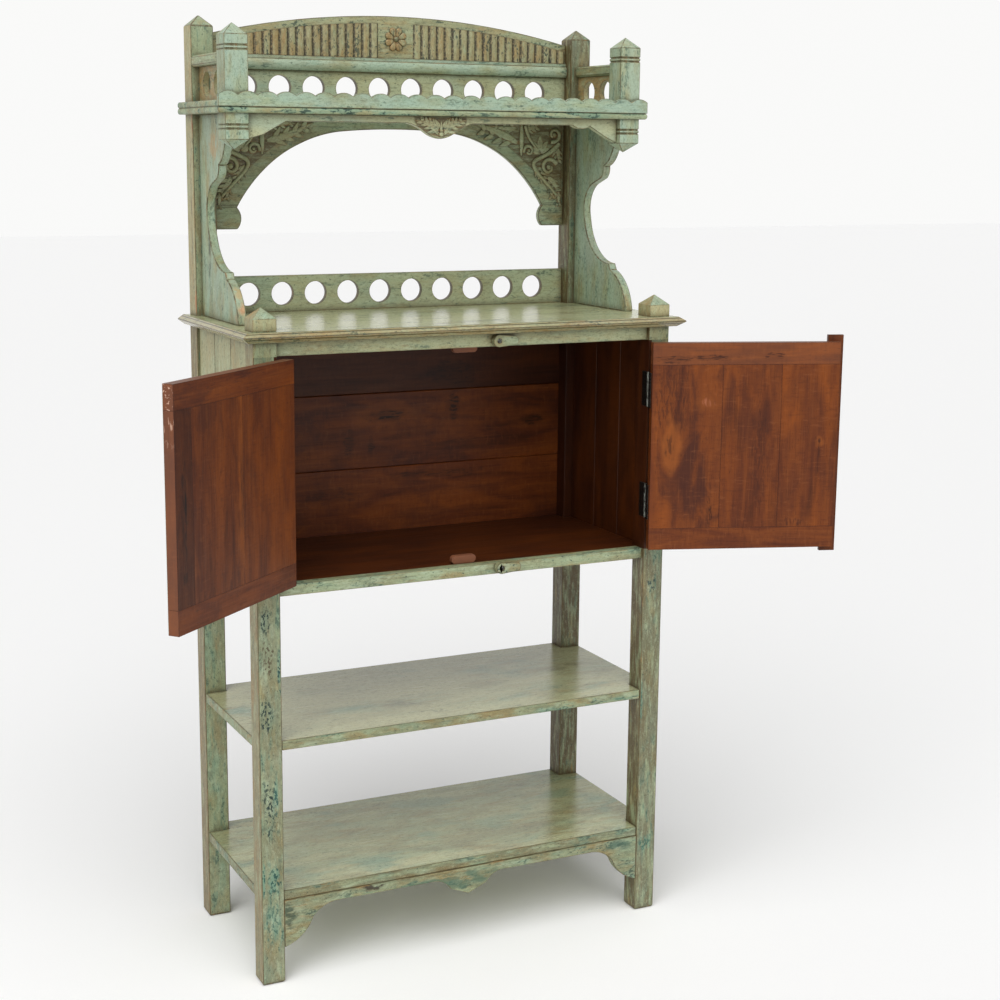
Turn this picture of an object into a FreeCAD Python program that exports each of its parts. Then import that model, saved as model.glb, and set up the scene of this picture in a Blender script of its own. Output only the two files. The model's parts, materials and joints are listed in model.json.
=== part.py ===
"""A trastero: a painted cupboard on open shelves, with a scrolled and pierced upper stage.

Frame: origin on the floor at the centre of the four feet, +X to the right, +Y to the back, +Z up.
All sizes are millimetres. The doors stand open and the turn buttons lie level.
"""
import FreeCAD
import Part
import Sketcher
import math
import os

SIZES = {
    # Overall
    "cabinet_width": 900.0,
    "cabinet_depth": 402.0,
    "post_size": 47.0,
    "point_height": 22.0,
    "foot_chamfer": 3.0,
    "seam_chamfer": 1.6,
    # Open shelves and the scalloped apron
    "shelf_thickness": 20.0,
    "shelf_setback": 2.0,
    "bottom_shelf_top": 193.0,
    "middle_shelf_top": 503.0,
    "apron_thickness": 18.0,
    "apron_band": 20.0,
    "apron_centre_drop": 59.0,
    "apron_end_drop": 99.0,
    "apron_end_length": 108.0,
    "apron_drop_half_length": 84.0,
    # Cupboard case
    "floor_top": 812.0,
    "floor_thickness": 12.0,
    "bottom_rail_height": 22.0,
    "top_rail_height": 27.5,
    "rail_setback": 9.0,
    "side_board_thickness": 22.0,
    "side_board_setback": 5.0,
    "back_board_thickness": 12.0,
    # Counter
    "counter_top": 1300.0,
    "counter_thickness": 20.0,
    "counter_overhang": 26.0,
    "counter_nose_height": 2.0,
    "counter_nose_drop": 8.0,
    "counter_top_bevel": 12.0,
    "counter_under_bevel": 14.0,
    "finial_height": 24.0,
    "finial_point_height": 20.0,
    # Doors
    "door_thickness": 22.5,
    "door_rail_height": 45.0,
    "door_top_gap": 2.5,
    "door_bottom_gap": 6.0,
    "hinge_side_gap": 3.6,
    "meeting_gap": 9.0,
    "left_door_angle": 140.0,
    "right_door_angle": 161.0,
    "astragal_width": 33.0,
    "astragal_thickness": 9.0,
    "astragal_lip": 12.0,
    "astragal_end": 13.0,
    "rest_gap": 0.5,
    # Hinges
    "hinge_length": 72.0,
    "hinge_end_distance": 99.0,
    "leaf_thickness": 1.6,
    "leaf_width": 24.0,
    "knuckle_radius": 3.0,
    "knuckle_gap": 0.3,
    "pin_radius": 1.5,
    "pin_forward": 2.6,
    "running_clearance": 0.05,
    # Turn buttons, their screws and the door stops
    "button_height": 24.0,
    "button_thickness": 14.0,
    "button_reach": 42.0,
    "button_tip_height": 17.0,
    "button_tip_radius": 6.0,
    "top_button_across": 57.0,
    "bottom_button_across": 68.0,
    "bottom_button_raise": 3.5,
    "screw_head_radius": 4.5,
    "screw_head_height": 2.6,
    "screw_shank_radius": 2.1,
    "screw_grip": 12.0,
    "recess_clearance": 0.6,
    "stop_width": 54.0,
    "stop_thickness": 12.0,
    "stop_overlap": 12.5,
    "stop_top_height": 34.0,
    "stop_bottom_height": 17.5,
    "stop_corner": 5.0,
    # Boards of the upper stage
    "upper_stage_height": 571.0,
    "stage_board_front": 19.0,
    "stage_board_thickness": 12.0,
    "gallery_height": 75.0,
    "gallery_hole_radius": 24.0,
    "gallery_end_margin": 74.0,
    "bracket_thickness": 18.0,
    "bracket_inset": 13.5,
    "bracket_foot_reach": 230.0,
    "arch_foot_rise": 171.0,
    "arch_bulb_height": 44.0,
    "arch_crown_drop": 24.0,
    "arch_side_width": 52.0,
    "arch_bulb_projection": 9.0,
    "spandrel_relief": 5.0,
    "spandrel_reach": 221.0,
    "spandrel_foot": 38.0,
    "carving_margin": 6.0,
    # Upper shelf and its scalloped strip
    "upper_shelf_drop": 172.0,
    "upper_shelf_thickness": 24.0,
    "upper_shelf_overhang": 15.5,
    "bead_round": 3.0,
    "strip_thickness": 8.0,
    "strip_cusp_height": 22.0,
    "strip_height": 29.0,
    # Pendants at the front corners of the upper stage
    "pendant_back_distance": 261.0,
    "pendant_fall": 49.0,
    "pendant_rise": 121.0,
    "pendant_drop_point": 19.0,
    "pendant_groove_height": 3.0,
    "pendant_groove_depth": 2.2,
    "pendant_groove_pitch": 7.5,
    "pendant_top_groove": 20.0,
    "pendant_low_groove": 21.5,
    # Valance
    "valance_setback": 12.0,
    "valance_thickness": 16.0,
    "valance_band": 14.0,
    "valance_end_drop": 48.0,
    "valance_end_length": 78.0,
    "valance_lobe_length": 104.0,
    "valance_centre_drop": 44.0,
    "valance_centre_half_length": 72.0,
    "leaf_relief": 4.0,
    # Top galleries, caps and crest
    "top_gallery_height": 67.5,
    "side_gallery_inset": 16.5,
    "side_hole_pitch": 70.0,
    "side_cap_width": 35.0,
    "side_cap_setback": 1.0,
    "cap_height": 22.5,
    "cap_projection": 11.0,
    "cap_depth": 25.0,
    "cap_round": 4.0,
    "crest_bead_height": 7.5,
    "crest_bead_thickness": 5.0,
    "crest_end_height": 46.0,
    "crest_rise": 47.0,
    "crest_border": 15.0,
    "reed_relief": 4.0,
    "reed_valley": 1.0,
    "reed_panel_inner": 40.0,
    "reed_end_margin": 3.0,
    "rosette_radius": 25.0,
    "rosette_relief": 5.0,
    "rosette_boss_radius": 6.0,
    "rosette_boss_relief": 7.5,
}

SIDE_BOARD_COUNT = 3
BACK_BOARD_COUNT = 3
GALLERY_HOLE_COUNT = 10
SIDE_HOLE_COUNT = 2
SCALLOP_COUNT = 24
REED_COUNT = 20
ROSETTE_PETAL_COUNT = 8

# Points of the outlines, chosen by hand as shares of the lengths that each outline follows.
APRON_DROP_SHARES = {"knee": (0.48, 0.43), "swell": (0.69, 0.86)}
APRON_END_SHARES = {"swell": (0.24, 0.905), "knee": (0.444, 0.67), "cove": (0.73, 0.165)}
ARCH_SHARES = (
    ((0.182, 0.991), (0.365, 0.9625)),
    ((0.49, 0.905), (0.608, 0.806)),
    ((0.728, 0.66), (0.832, 0.475)),
    ((0.93, 0.235), (1.0, 0.0)),
)
BRACKET_SHARES = {
    "foot_swell": (0.935, 0.105),
    "shoulder": (0.70, 0.209),
    "step": (0.665, 0.243),
    "cove": (0.335, 0.320),
    "waist": (0.191, 0.478),
    "neck_swell": (0.200, 0.591),
    "neck": (0.322, 0.659),
    "nose_low": (0.478, 0.690),
    "nose_swell": (0.530, 0.725),
    "nose_top": (0.535, 0.757),
    "notch": (0.560, 0.762),
    "lobe": (0.625, 0.785),
    "lobe_top": (0.690, 0.832),
}
BRACKET_TAIL_SHARE = 0.868
SPANDREL_MIDDLE_SHARES = (0.46, 0.60)
VALANCE_DROP_SHARES = {"cove": (0.27, 0.16), "knee": (0.46, 0.42), "swell": (0.70, 0.77)}
VALANCE_END_SHARES = {"left": ((0.42, 0.26), (0.80, 0.75)), "right": ((0.49, 0.53), (0.25, 0.22))}
VALANCE_LOBE_SHARES = {"start": (0.93, 0.88), "swell": (0.79, 0.79), "cusp": (0.61, 0.955)}
LEAF_SHARES = {"cove": (0.30, 0.13), "swell": (0.70, 0.52), "tip": (0.78, 0.80)}
LEFT_DOOR_BOARD_SHARES = (0.46, 0.41, 0.13)
RIGHT_DOOR_BOARD_SHARES = (0.375, 0.315, 0.31)
PETAL_VALLEY_SHARE = 0.80
KNUCKLE_SHARE = 1 / 3
ROUND_CORNER_SHARE = math.sqrt(0.5)


class Amount:
    """A number together with the expression that works it out from the sheet."""

    def __init__(self, value, text):
        self.value = value
        self.text = text

    @staticmethod
    def wrap(other):
        """Take a plain number as an amount."""
        return other if isinstance(other, Amount) else Amount(float(other), repr(float(other)))

    def __add__(self, other):
        other = Amount.wrap(other)
        return Amount(self.value + other.value, "(%s + %s)" % (self.text, other.text))

    def __sub__(self, other):
        other = Amount.wrap(other)
        return Amount(self.value - other.value, "(%s - %s)" % (self.text, other.text))

    def __mul__(self, other):
        other = Amount.wrap(other)
        return Amount(self.value * other.value, "(%s * %s)" % (self.text, other.text))

    def __truediv__(self, other):
        other = Amount.wrap(other)
        return Amount(self.value / other.value, "(%s / %s)" % (self.text, other.text))

    def __neg__(self):
        return Amount(-self.value, "(0 - %s)" % self.text)


class Reader:
    """Gives each named size of the sheet as an amount."""

    def __init__(self, sheet):
        self.sheet = sheet

    def __getattr__(self, name):
        return Amount(float(self.sheet.get(name)), self.sheet.Name + "." + name)


def make_sheet(name):
    """The sheet of driving dimensions, one named cell to a size."""
    sheet = doc.addObject("Spreadsheet::Sheet", name)
    for row, (alias, value) in enumerate(SIZES.items(), start=1):
        sheet.set("A%d" % row, alias)
        sheet.set("B%d" % row, repr(value))
        sheet.setAlias("B%d" % row, alias)
    doc.recompute()
    return sheet


doc = FreeCAD.newDocument("Trastero")
size = Reader(make_sheet("Sizes"))
zero = Amount(0.0, "0")

# Planes and edges that several pieces share.
half_width = size.cabinet_width / 2
post_inner_x = half_width - size.post_size
between_posts = post_inner_x * 2
front_y = -(size.cabinet_depth / 2)
back_y = size.cabinet_depth / 2
front_post_back = front_y + size.post_size
rear_post_front = back_y - size.post_size
counter_bottom = size.counter_top - size.counter_thickness
case_bottom = size.floor_top - size.bottom_rail_height
case_height = counter_bottom - case_bottom
side_board_x = half_width - size.side_board_setback - size.side_board_thickness
back_board_y = back_y - size.shelf_setback - size.back_board_thickness
stage_face = back_y - size.stage_board_front
stage_back = stage_face + size.stage_board_thickness
rear_post_height = size.counter_top + size.upper_stage_height
upper_shelf_bottom = rear_post_height - size.upper_shelf_drop
shelf_top = upper_shelf_bottom + size.upper_shelf_thickness
cap_bottom = shelf_top + size.top_gallery_height
cap_top = cap_bottom + size.cap_height
pendant_front = back_y - size.pendant_back_distance
pendant_back = pendant_front + size.post_size
pendant_bottom = upper_shelf_bottom - size.pendant_fall
pendant_top = shelf_top + size.pendant_rise

# The arch stands over the counter and ends under the upper shelf.
arch_foot = size.counter_top + size.arch_foot_rise
arch_spring = arch_foot + size.arch_bulb_height
arch_crown = upper_shelf_bottom - size.arch_crown_drop
arch_half_opening = post_inner_x - size.arch_side_width

# The doorway: the doors lie between the rails, a little in front of their faces.
door_face = front_y + size.rail_setback
rail_face = door_face + size.rest_gap
rail_back = door_face + size.door_thickness + size.rest_gap * 2
opening_top = counter_bottom - size.top_rail_height
door_bottom = size.floor_top + size.door_bottom_gap
door_top = opening_top - size.door_top_gap
pin_x = post_inner_x - size.hinge_side_gap / 2
pin_y = front_y - size.pin_forward

# Distances from a door's hinge pin, along the door and through its thickness.
door_hinge_edge = size.hinge_side_gap / 2
door_free_edge = pin_x - size.meeting_gap / 2
door_outer = door_face - pin_y
door_inner = door_outer + size.door_thickness

# The turn buttons stand clear of the closed doors' faces.
top_button_z = opening_top + size.button_height / 2
bottom_button_z = size.floor_top - size.button_height / 2 + size.bottom_button_raise
button_back = door_face - size.rest_gap
button_front = button_back - size.button_thickness
screw_head_y = button_front + size.screw_head_height + size.recess_clearance

PLANES = {"floor": "XY_Plane", "front": "XZ_Plane", "side": "YZ_Plane"}
PLANE_TURNS = {
    "floor": FreeCAD.Rotation(),
    "front": FreeCAD.Rotation(FreeCAD.Vector(1, 0, 0), 90),
    "side": FreeCAD.Rotation(FreeCAD.Vector(1, 1, 1), 120),
}
DOOR_AXES = {1: FreeCAD.Vector(0, 0, -1), -1: FreeCAD.Vector(0, 0, 1)}


class Path:
    """A closed outline of straight lines and arcs, drawn point by point."""

    def __init__(self, x, y):
        self.points = [(x, y)]
        self.middles = []

    def line(self, x, y):
        """A straight line to a point."""
        self.middles.append(None)
        self.points.append((x, y))
        return self

    def arc(self, middle, x, y):
        """An arc through a middle point to a point."""
        self.middles.append(middle)
        self.points.append((x, y))
        return self

    def mirrored(self):
        """Close a right-hand half outline with its own mirror image across the upright axis."""
        steps = list(zip(self.points[:-1], self.middles))
        if self.points[-1][0] is not zero:
            self.line(-self.points[-1][0], self.points[-1][1])
        for (x, y), middle in reversed(steps):
            if middle is None:
                self.line(x if x is zero else -x, y)
            else:
                self.arc((-middle[0], middle[1]), x if x is zero else -x, y)
        return self

    def flipped(self):
        """The same outline, turned over across the upright axis."""
        self.points = [(x if x is zero else -x, y) for x, y in self.points]
        self.middles = [middle and (-middle[0], middle[1]) for middle in self.middles]
        return self

    def draw(self, sketch):
        """Draw the outline in a sketch and hold each corner by its two distances."""
        points = list(self.points)
        middles = list(self.middles)
        if points[-1] != points[0]:
            points.append(points[0])
            middles.append(None)
        ends = [draw_step(sketch, *step) for step in zip(points[:-1], middles, points[1:])]
        for one, two in zip(ends, ends[1:] + ends[:1]):
            sketch.addConstraint(Sketcher.Constraint("Coincident", one[0], one[2], two[0], two[1]))
        for (index, start, _), (x, y) in zip(ends, points):
            hold(sketch, "DistanceX", index, start, x)
            hold(sketch, "DistanceY", index, start, y)


def draw_step(sketch, start, middle, end):
    """One line or arc of an outline, as its index and which of its ends comes first and last."""
    first, last = (FreeCAD.Vector(x.value, y.value, 0) for x, y in (start, end))
    if middle is None:
        return sketch.addGeometry(Part.LineSegment(first, last), False), 1, 2
    through = FreeCAD.Vector(middle[0].value, middle[1].value, 0)
    anticlockwise = (through - first).cross(last - through).z > 0
    if anticlockwise:
        return sketch.addGeometry(Part.Arc(first, through, last), False), 1, 2
    return sketch.addGeometry(Part.Arc(last, through, first), False), 2, 1


def hold(sketch, kind, index, end, amount):
    """Bind one distance of a corner from the sketch's origin."""
    if amount is zero:
        axis = -2 if kind == "DistanceX" else -1
        sketch.addConstraint(Sketcher.Constraint("PointOnObject", index, end, axis))
        return
    row = sketch.addConstraint(Sketcher.Constraint(kind, index, end, amount.value))
    sketch.setExpression("Constraints[%d]" % row, amount.text)


def rectangle(x_low, x_high, y_low, y_high):
    """A rectangular outline."""
    return Path(x_low, y_low).line(x_high, y_low).line(x_high, y_high).line(x_low, y_high)


def eased_rectangle(x_low, x_high, y_low, y_high, ease):
    """A rectangular outline with its four corners cut off."""
    path = Path(x_low + ease, y_low).line(x_high - ease, y_low).line(x_high, y_low + ease)
    path.line(x_high, y_high - ease).line(x_high - ease, y_high).line(x_low + ease, y_high)
    return path.line(x_low, y_high - ease).line(x_low, y_low + ease)


def seamed_rectangle(x_low, x_high, y_low, y_high, ease):
    """A rectangular outline with the two corners of its lower side cut off."""
    path = Path(x_low + ease, y_low).line(x_high - ease, y_low).line(x_high, y_low + ease)
    return path.line(x_high, y_high).line(x_low, y_high).line(x_low, y_low + ease)


def span(side, near, far):
    """The low end of a stretch between two distances from the middle, to one side of it."""
    return near if side > 0 else -far


def place(thing, x, y, z):
    """Bind a piece's position."""
    thing.setExpression("Placement.Base.x", x.text)
    thing.setExpression("Placement.Base.y", y.text)
    thing.setExpression("Placement.Base.z", z.text)
    return thing


def hang(thing, side, z):
    """Put a piece drawn from its hinge pin on the open left (side 1) or right (side -1) door."""
    angle = size.left_door_angle if side > 0 else size.right_door_angle
    thing.Placement = FreeCAD.Placement(FreeCAD.Vector(), FreeCAD.Rotation(DOOR_AXES[side], angle.value))
    thing.setExpression("Placement.Rotation.Angle", angle.text)
    return place(thing, pin_x * -side, pin_y, z)


def box(name, low, extent):
    """A rectangular solid from its low corner and its three extents."""
    solid = doc.addObject("Part::Box", name)
    for edge, amount in zip(("Length", "Width", "Height"), extent):
        solid.setExpression(edge, amount.text)
    return place(solid, *low)


def cylinder(name, centre, radius, length, plane="floor"):
    """A round bar that stands on a plane, from the centre of its foot."""
    bar = doc.addObject("Part::Cylinder", name)
    bar.setExpression("Radius", radius.text)
    bar.setExpression("Height", length.text)
    bar.Placement = FreeCAD.Placement(FreeCAD.Vector(), PLANE_TURNS[plane])
    return place(bar, *centre)


def fuse(name, pieces):
    """Several solids joined into one."""
    joined = doc.addObject("Part::MultiFuse", name)
    joined.Shapes = pieces
    joined.Refine = True
    return joined


def cut(name, base, tools):
    """A solid less one or more others."""
    left = doc.addObject("Part::Cut", name)
    left.Base = base
    left.Tool = tools[0] if len(tools) == 1 else fuse(name + "_tools", tools)
    left.Refine = True
    return left


def common(name, one, two):
    """What two solids share."""
    shared = doc.addObject("Part::Common", name)
    shared.Base = one
    shared.Tool = two
    shared.Refine = True
    return shared


def group(name, pieces):
    """Separate solids that share a node."""
    together = doc.addObject("Part::Compound", name)
    together.Links = pieces
    return together


def sketch_on(body, name, plane):
    """A sketch on one of a body's own planes: floor, front or side."""
    sketch = body.newObject("Sketcher::SketchObject", name)
    support = next(item for item in body.Origin.OriginFeatures if item.Role == PLANES[plane])
    sketch.AttachmentSupport = [(support, "")]
    sketch.MapMode = "FlatFace"
    return sketch


def board(name, plane, path, thickness):
    """A board cut to an outline: it grows up from the floor plane, forwards from the front plane
    and to the right from the side plane."""
    body = doc.addObject("PartDesign::Body", name)
    sketch = sketch_on(body, name + "_outline", plane)
    path.draw(sketch)
    pad = body.newObject("PartDesign::Pad", name + "_pad")
    pad.Profile = sketch
    pad.setExpression("Length", thickness.text)
    return body


def pierce(body, plane, centre, pitch, count, depth):
    """A level row of round holes through a board, from the centre of the first one."""
    sketch = sketch_on(body, body.Name + "_hole", plane)
    x, y = centre
    radius = size.gallery_hole_radius
    middle = FreeCAD.Vector(x.value, y.value, 0)
    circle = sketch.addGeometry(Part.Circle(middle, FreeCAD.Vector(0, 0, 1), radius.value), False)
    hold(sketch, "DistanceX", circle, 3, x)
    hold(sketch, "DistanceY", circle, 3, y)
    row = sketch.addConstraint(Sketcher.Constraint("Radius", circle, radius.value))
    sketch.setExpression("Constraints[%d]" % row, radius.text)
    pocket = body.newObject("PartDesign::Pocket", body.Name + "_pocket")
    pocket.Profile = sketch
    pocket.Reversed = True
    pocket.setExpression("Length", depth.text)
    doc.recompute()
    holes = body.newObject("PartDesign::LinearPattern", body.Name + "_holes")
    holes.Originals = [pocket]
    holes.Direction = (sketch, ["H_Axis"])
    holes.setExpression("Length", (pitch * (count - 1)).text)
    holes.Occurrences = count
    body.Tip = holes


def stretched(name, plane, path, length, at):
    """An outline on a plane through a point, stretched both ways from it."""
    sketch = doc.addObject("Sketcher::SketchObject", name + "_outline")
    path.draw(sketch)
    sketch.Placement = FreeCAD.Placement(FreeCAD.Vector(), PLANE_TURNS[plane])
    place(sketch, *at)
    solid = doc.addObject("Part::Extrusion", name)
    solid.Base = sketch
    solid.DirMode = "Normal"
    solid.Symmetric = True
    solid.Solid = True
    solid.setExpression("LengthFwd", length.text)
    return solid


def crossed(name, front_path, side_path, width, depth, at):
    """A solid that shows one outline from the front and another from the side."""
    front = stretched(name + "_front", "front", front_path, depth, at)
    side = stretched(name + "_side", "side", side_path, width, at)
    return common(name, front, side)


def square_post(name, path, side, y, z):
    """A square post at one side, which shows the same outline from the front and the side."""
    x = (half_width - size.post_size / 2) * side
    return crossed(name, path, path, size.post_size, size.post_size, (x, y, z))


def front_post(name, side):
    """A post from the floor to the counter, with its foot eased all round."""
    half = size.post_size / 2
    path = Path(half - size.foot_chamfer, zero).line(half, size.foot_chamfer)
    path.line(half, counter_bottom).mirrored()
    return square_post(name, path, side, front_y + half, zero)


def rear_post(name, side):
    """A post from the floor up past the crest, ending in a low point."""
    half = size.post_size / 2
    path = Path(half - size.foot_chamfer, zero).line(half, size.foot_chamfer)
    path.line(half, rear_post_height).line(zero, rear_post_height + size.point_height).mirrored()
    return square_post(name, path, side, back_y - half, zero)


def finial(name, side):
    """A square block with a low point, on the counter above a front post."""
    half = size.post_size / 2
    path = Path(half, zero).line(half, size.finial_height)
    path.line(zero, size.finial_height + size.finial_point_height).mirrored()
    return square_post(name, path, side, front_y + half, size.counter_top)


def pendant(name, side):
    """A square drop at a front corner of the upper shelf, pointed at both ends, with two pairs of
    grooves sawn round it."""
    half = size.post_size / 2
    low = upper_shelf_bottom - size.pendant_low_groove
    high = pendant_top - size.pendant_top_groove
    pitch = size.pendant_groove_pitch
    rise = size.pendant_groove_height / 2
    waist = half - size.pendant_groove_depth
    path = Path(zero, pendant_bottom - size.pendant_drop_point).line(half, pendant_bottom)
    for middle in (low - pitch, low, high - pitch, high):
        path.line(half, middle - rise).line(waist, middle).line(half, middle + rise)
    path.line(half, pendant_top).line(zero, pendant_top + size.point_height).mirrored()
    return square_post(name, path, side, pendant_front + half, zero)


def open_shelf(name, top):
    """A shelf notched round the four posts and almost flush with them."""
    out_x = half_width - size.shelf_setback
    out_y = back_y - size.shelf_setback
    path = Path(post_inner_x, -out_y).line(post_inner_x, front_post_back).line(out_x, front_post_back)
    path.line(out_x, rear_post_front).line(post_inner_x, rear_post_front).line(post_inner_x, out_y)
    shelf = board(name, "floor", path.mirrored(), size.shelf_thickness)
    return place(shelf, zero, zero, top - size.shelf_thickness)


def bottom_apron():
    """The cut board under the bottom shelf: a pointed drop in the middle and a scroll at each end."""
    top = size.bottom_shelf_top - size.shelf_thickness
    edge = top - size.apron_band
    drop = top - size.apron_centre_drop
    foot = top - size.apron_end_drop

    def middle(key):
        x_share, z_share = APRON_DROP_SHARES[key]
        return size.apron_drop_half_length * x_share, drop + (edge - drop) * z_share

    def end(key):
        x_share, z_share = APRON_END_SHARES[key]
        x = post_inner_x - size.apron_end_length * (1 - x_share)
        return x, foot + (edge - foot) * z_share

    path = Path(zero, drop).line(*middle("knee")).arc(middle("swell"), size.apron_drop_half_length, edge)
    path.line(post_inner_x - size.apron_end_length, edge).arc(end("swell"), *end("knee"))
    path.arc(end("cove"), post_inner_x, foot).line(post_inner_x, top)
    apron = board("bottom_apron", "front", path.mirrored(), size.apron_thickness)
    return place(apron, zero, front_y + size.apron_thickness, zero)


def case_floor():
    """The cupboard's floor, notched round the posts."""
    path = Path(post_inner_x, rail_back).line(post_inner_x, front_post_back).line(side_board_x, front_post_back)
    path.line(side_board_x, rear_post_front).line(post_inner_x, rear_post_front)
    path.line(post_inner_x, back_board_y)
    floor = board("case_floor", "floor", path.mirrored(), size.floor_thickness)
    return place(floor, zero, zero, size.floor_top - size.floor_thickness)


def case_rail(name, bottom, height, screw_x, screw_z):
    """A rail across the front of the cupboard, with the hole that holds a turn button's screw."""
    rail = box(name + "_blank", (-post_inner_x, rail_face, bottom), (between_posts, rail_back - rail_face, height))
    hole = cylinder(name + "_hole", (screw_x, rail_face + size.screw_grip, screw_z),
                    size.screw_shank_radius + size.running_clearance, size.screw_grip, "front")
    return cut(name, rail, [hole])


def side_boards(name, side):
    """Three upright boards that close one side of the cupboard between its posts."""
    width = (rear_post_front - front_post_back) / SIDE_BOARD_COUNT
    low = span(side, side_board_x, side_board_x + size.side_board_thickness)
    boards = []
    for index in range(SIDE_BOARD_COUNT):
        start = front_post_back + width * index
        path = eased_rectangle(low, low + size.side_board_thickness, start, start + width, size.seam_chamfer)
        upright = board("%s_%d" % (name, index + 1), "floor", path, case_height)
        boards.append(place(upright, zero, zero, case_bottom))
    return group(name, boards)


def back_board(name, index):
    """One of the level boards that close the cupboard's back."""
    height = case_height / BACK_BOARD_COUNT
    bottom = case_bottom + height * index
    path = eased_rectangle(back_board_y, back_board_y + size.back_board_thickness, bottom, bottom + height,
                           size.seam_chamfer)
    return place(board(name, "side", path, between_posts), -post_inner_x, zero, zero)


def counter():
    """The counter: pointed edges at the front and sides, flush behind, notched round the rear posts."""
    tip_x = half_width + size.counter_overhang
    tip_y = front_y - size.counter_overhang
    nose_top = size.counter_top - size.counter_nose_drop
    nose_bottom = nose_top - size.counter_nose_height
    front = Path(tip_x - size.counter_under_bevel, counter_bottom).line(tip_x, nose_bottom)
    front.line(tip_x, nose_top).line(tip_x - size.counter_top_bevel, size.counter_top).mirrored()
    side = Path(back_y, counter_bottom).line(back_y, size.counter_top)
    side.line(tip_y + size.counter_top_bevel, size.counter_top).line(tip_y, nose_top)
    side.line(tip_y, nose_bottom).line(tip_y + size.counter_under_bevel, counter_bottom)
    blank = crossed("counter_blank", front, side, tip_x * 2, tip_y * -2, (zero, zero, zero))
    extent = (size.post_size, size.post_size, size.counter_thickness)
    notches = []
    for name, x in (("counter_notch_left", -half_width), ("counter_notch_right", post_inner_x)):
        notches.append(box(name, (x, rear_post_front, counter_bottom), extent))
    return cut("counter_top", blank, notches)


def gallery(name, bottom, height):
    """A board between the rear posts with a row of ten round holes."""
    path = rectangle(-post_inner_x, post_inner_x, zero, height)
    pierced = board(name, "front", path, size.stage_board_thickness)
    first = size.gallery_end_margin - post_inner_x
    pitch = (between_posts - size.gallery_end_margin * 2) / (GALLERY_HOLE_COUNT - 1)
    pierce(pierced, "front", (first, height / 2), pitch, GALLERY_HOLE_COUNT, size.stage_board_thickness)
    return place(pierced, zero, stage_back, bottom)


def bracket(name, side):
    """A scrolled side piece that carries the upper shelf in front of a rear post."""
    height = upper_shelf_bottom - size.counter_top

    def point(key):
        y_share, z_share = BRACKET_SHARES[key]
        return rear_post_front - size.bracket_foot_reach * y_share, height * z_share

    path = Path(rear_post_front, zero).line(rear_post_front - size.bracket_foot_reach, zero)
    path.arc(point("foot_swell"), *point("shoulder")).line(*point("step"))
    path.arc(point("cove"), *point("waist")).arc(point("neck_swell"), *point("neck"))
    path.line(*point("nose_low")).arc(point("nose_swell"), *point("nose_top")).line(*point("notch"))
    path.arc(point("lobe"), *point("lobe_top")).line(pendant_back, height * BRACKET_TAIL_SHARE)
    path.line(pendant_back, height).line(rear_post_front, height)
    piece = board(name, "side", path, size.bracket_thickness)
    far = half_width - size.bracket_inset
    return place(piece, span(side, far - size.bracket_thickness, far), zero, size.counter_top)


def arch_board():
    """The arched board under the upper shelf, its feet ending in small bulbs."""
    rise = arch_crown - arch_spring

    def point(shares):
        x_share, z_share = shares
        return arch_half_opening * x_share, arch_spring + rise * z_share

    path = Path(zero, arch_crown)
    for through, end in ARCH_SHARES:
        path.arc(point(through), *point(end))
    bulb = arch_half_opening - size.arch_bulb_projection
    bulb_middle = (arch_spring + arch_foot) / 2
    path.arc((bulb, bulb_middle), arch_half_opening, arch_foot)
    path.line(post_inner_x, arch_foot).line(post_inner_x, upper_shelf_bottom)
    arch = board("arch_board", "front", path.mirrored(), size.stage_board_thickness)
    return place(arch, zero, stage_back, zero)


def spandrel(name, side):
    """A carved panel in an upper corner of the arch."""
    right = post_inner_x - size.carving_margin
    top = upper_shelf_bottom - size.carving_margin
    bottom = arch_foot + size.spandrel_foot
    x_share, z_share = SPANDREL_MIDDLE_SHARES
    middle = (right - size.spandrel_reach * x_share, bottom + (top - bottom) * z_share)
    path = Path(right, top).line(right, bottom).arc(middle, right - size.spandrel_reach, top)
    if side < 0:
        path.flipped()
    return place(board(name, "front", path, size.spandrel_relief), zero, stage_face, zero)


def upper_shelf():
    """The upper shelf: a double bead along its edges, square holes for the pendants, notches for
    the rear posts and a rebate for the scalloped strip."""
    out_x = half_width + size.upper_shelf_overhang
    bottom = upper_shelf_bottom
    bead = size.upper_shelf_thickness / 2
    middle = bottom + bead
    front_edge = pendant_front - size.strip_thickness
    front = Path(out_x - size.bead_round, bottom)
    front.arc((out_x, bottom + bead / 2), out_x - size.bead_round, middle)
    front.arc((out_x, middle + bead / 2), out_x - size.bead_round, shelf_top).mirrored()
    start = (front_edge + size.bead_round, bottom)
    side = Path(*start).line(back_y, bottom).line(back_y, shelf_top).line(pendant_front, shelf_top)
    side.line(pendant_front, middle).line(front_edge + size.bead_round, middle)
    side.arc((front_edge, bottom + bead / 2), *start)
    blank = crossed("upper_shelf_blank", front, side, out_x * 2, size.cabinet_depth, (zero, zero, zero))
    extent = (size.post_size, size.post_size, size.upper_shelf_thickness)
    holes = []
    for name, x in (("left", -half_width), ("right", post_inner_x)):
        holes.append(box("pendant_hole_" + name, (x, pendant_front, bottom), extent))
        holes.append(box("rear_notch_" + name, (x, rear_post_front, bottom), extent))
    return cut("upper_shelf", blank, holes)


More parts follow.
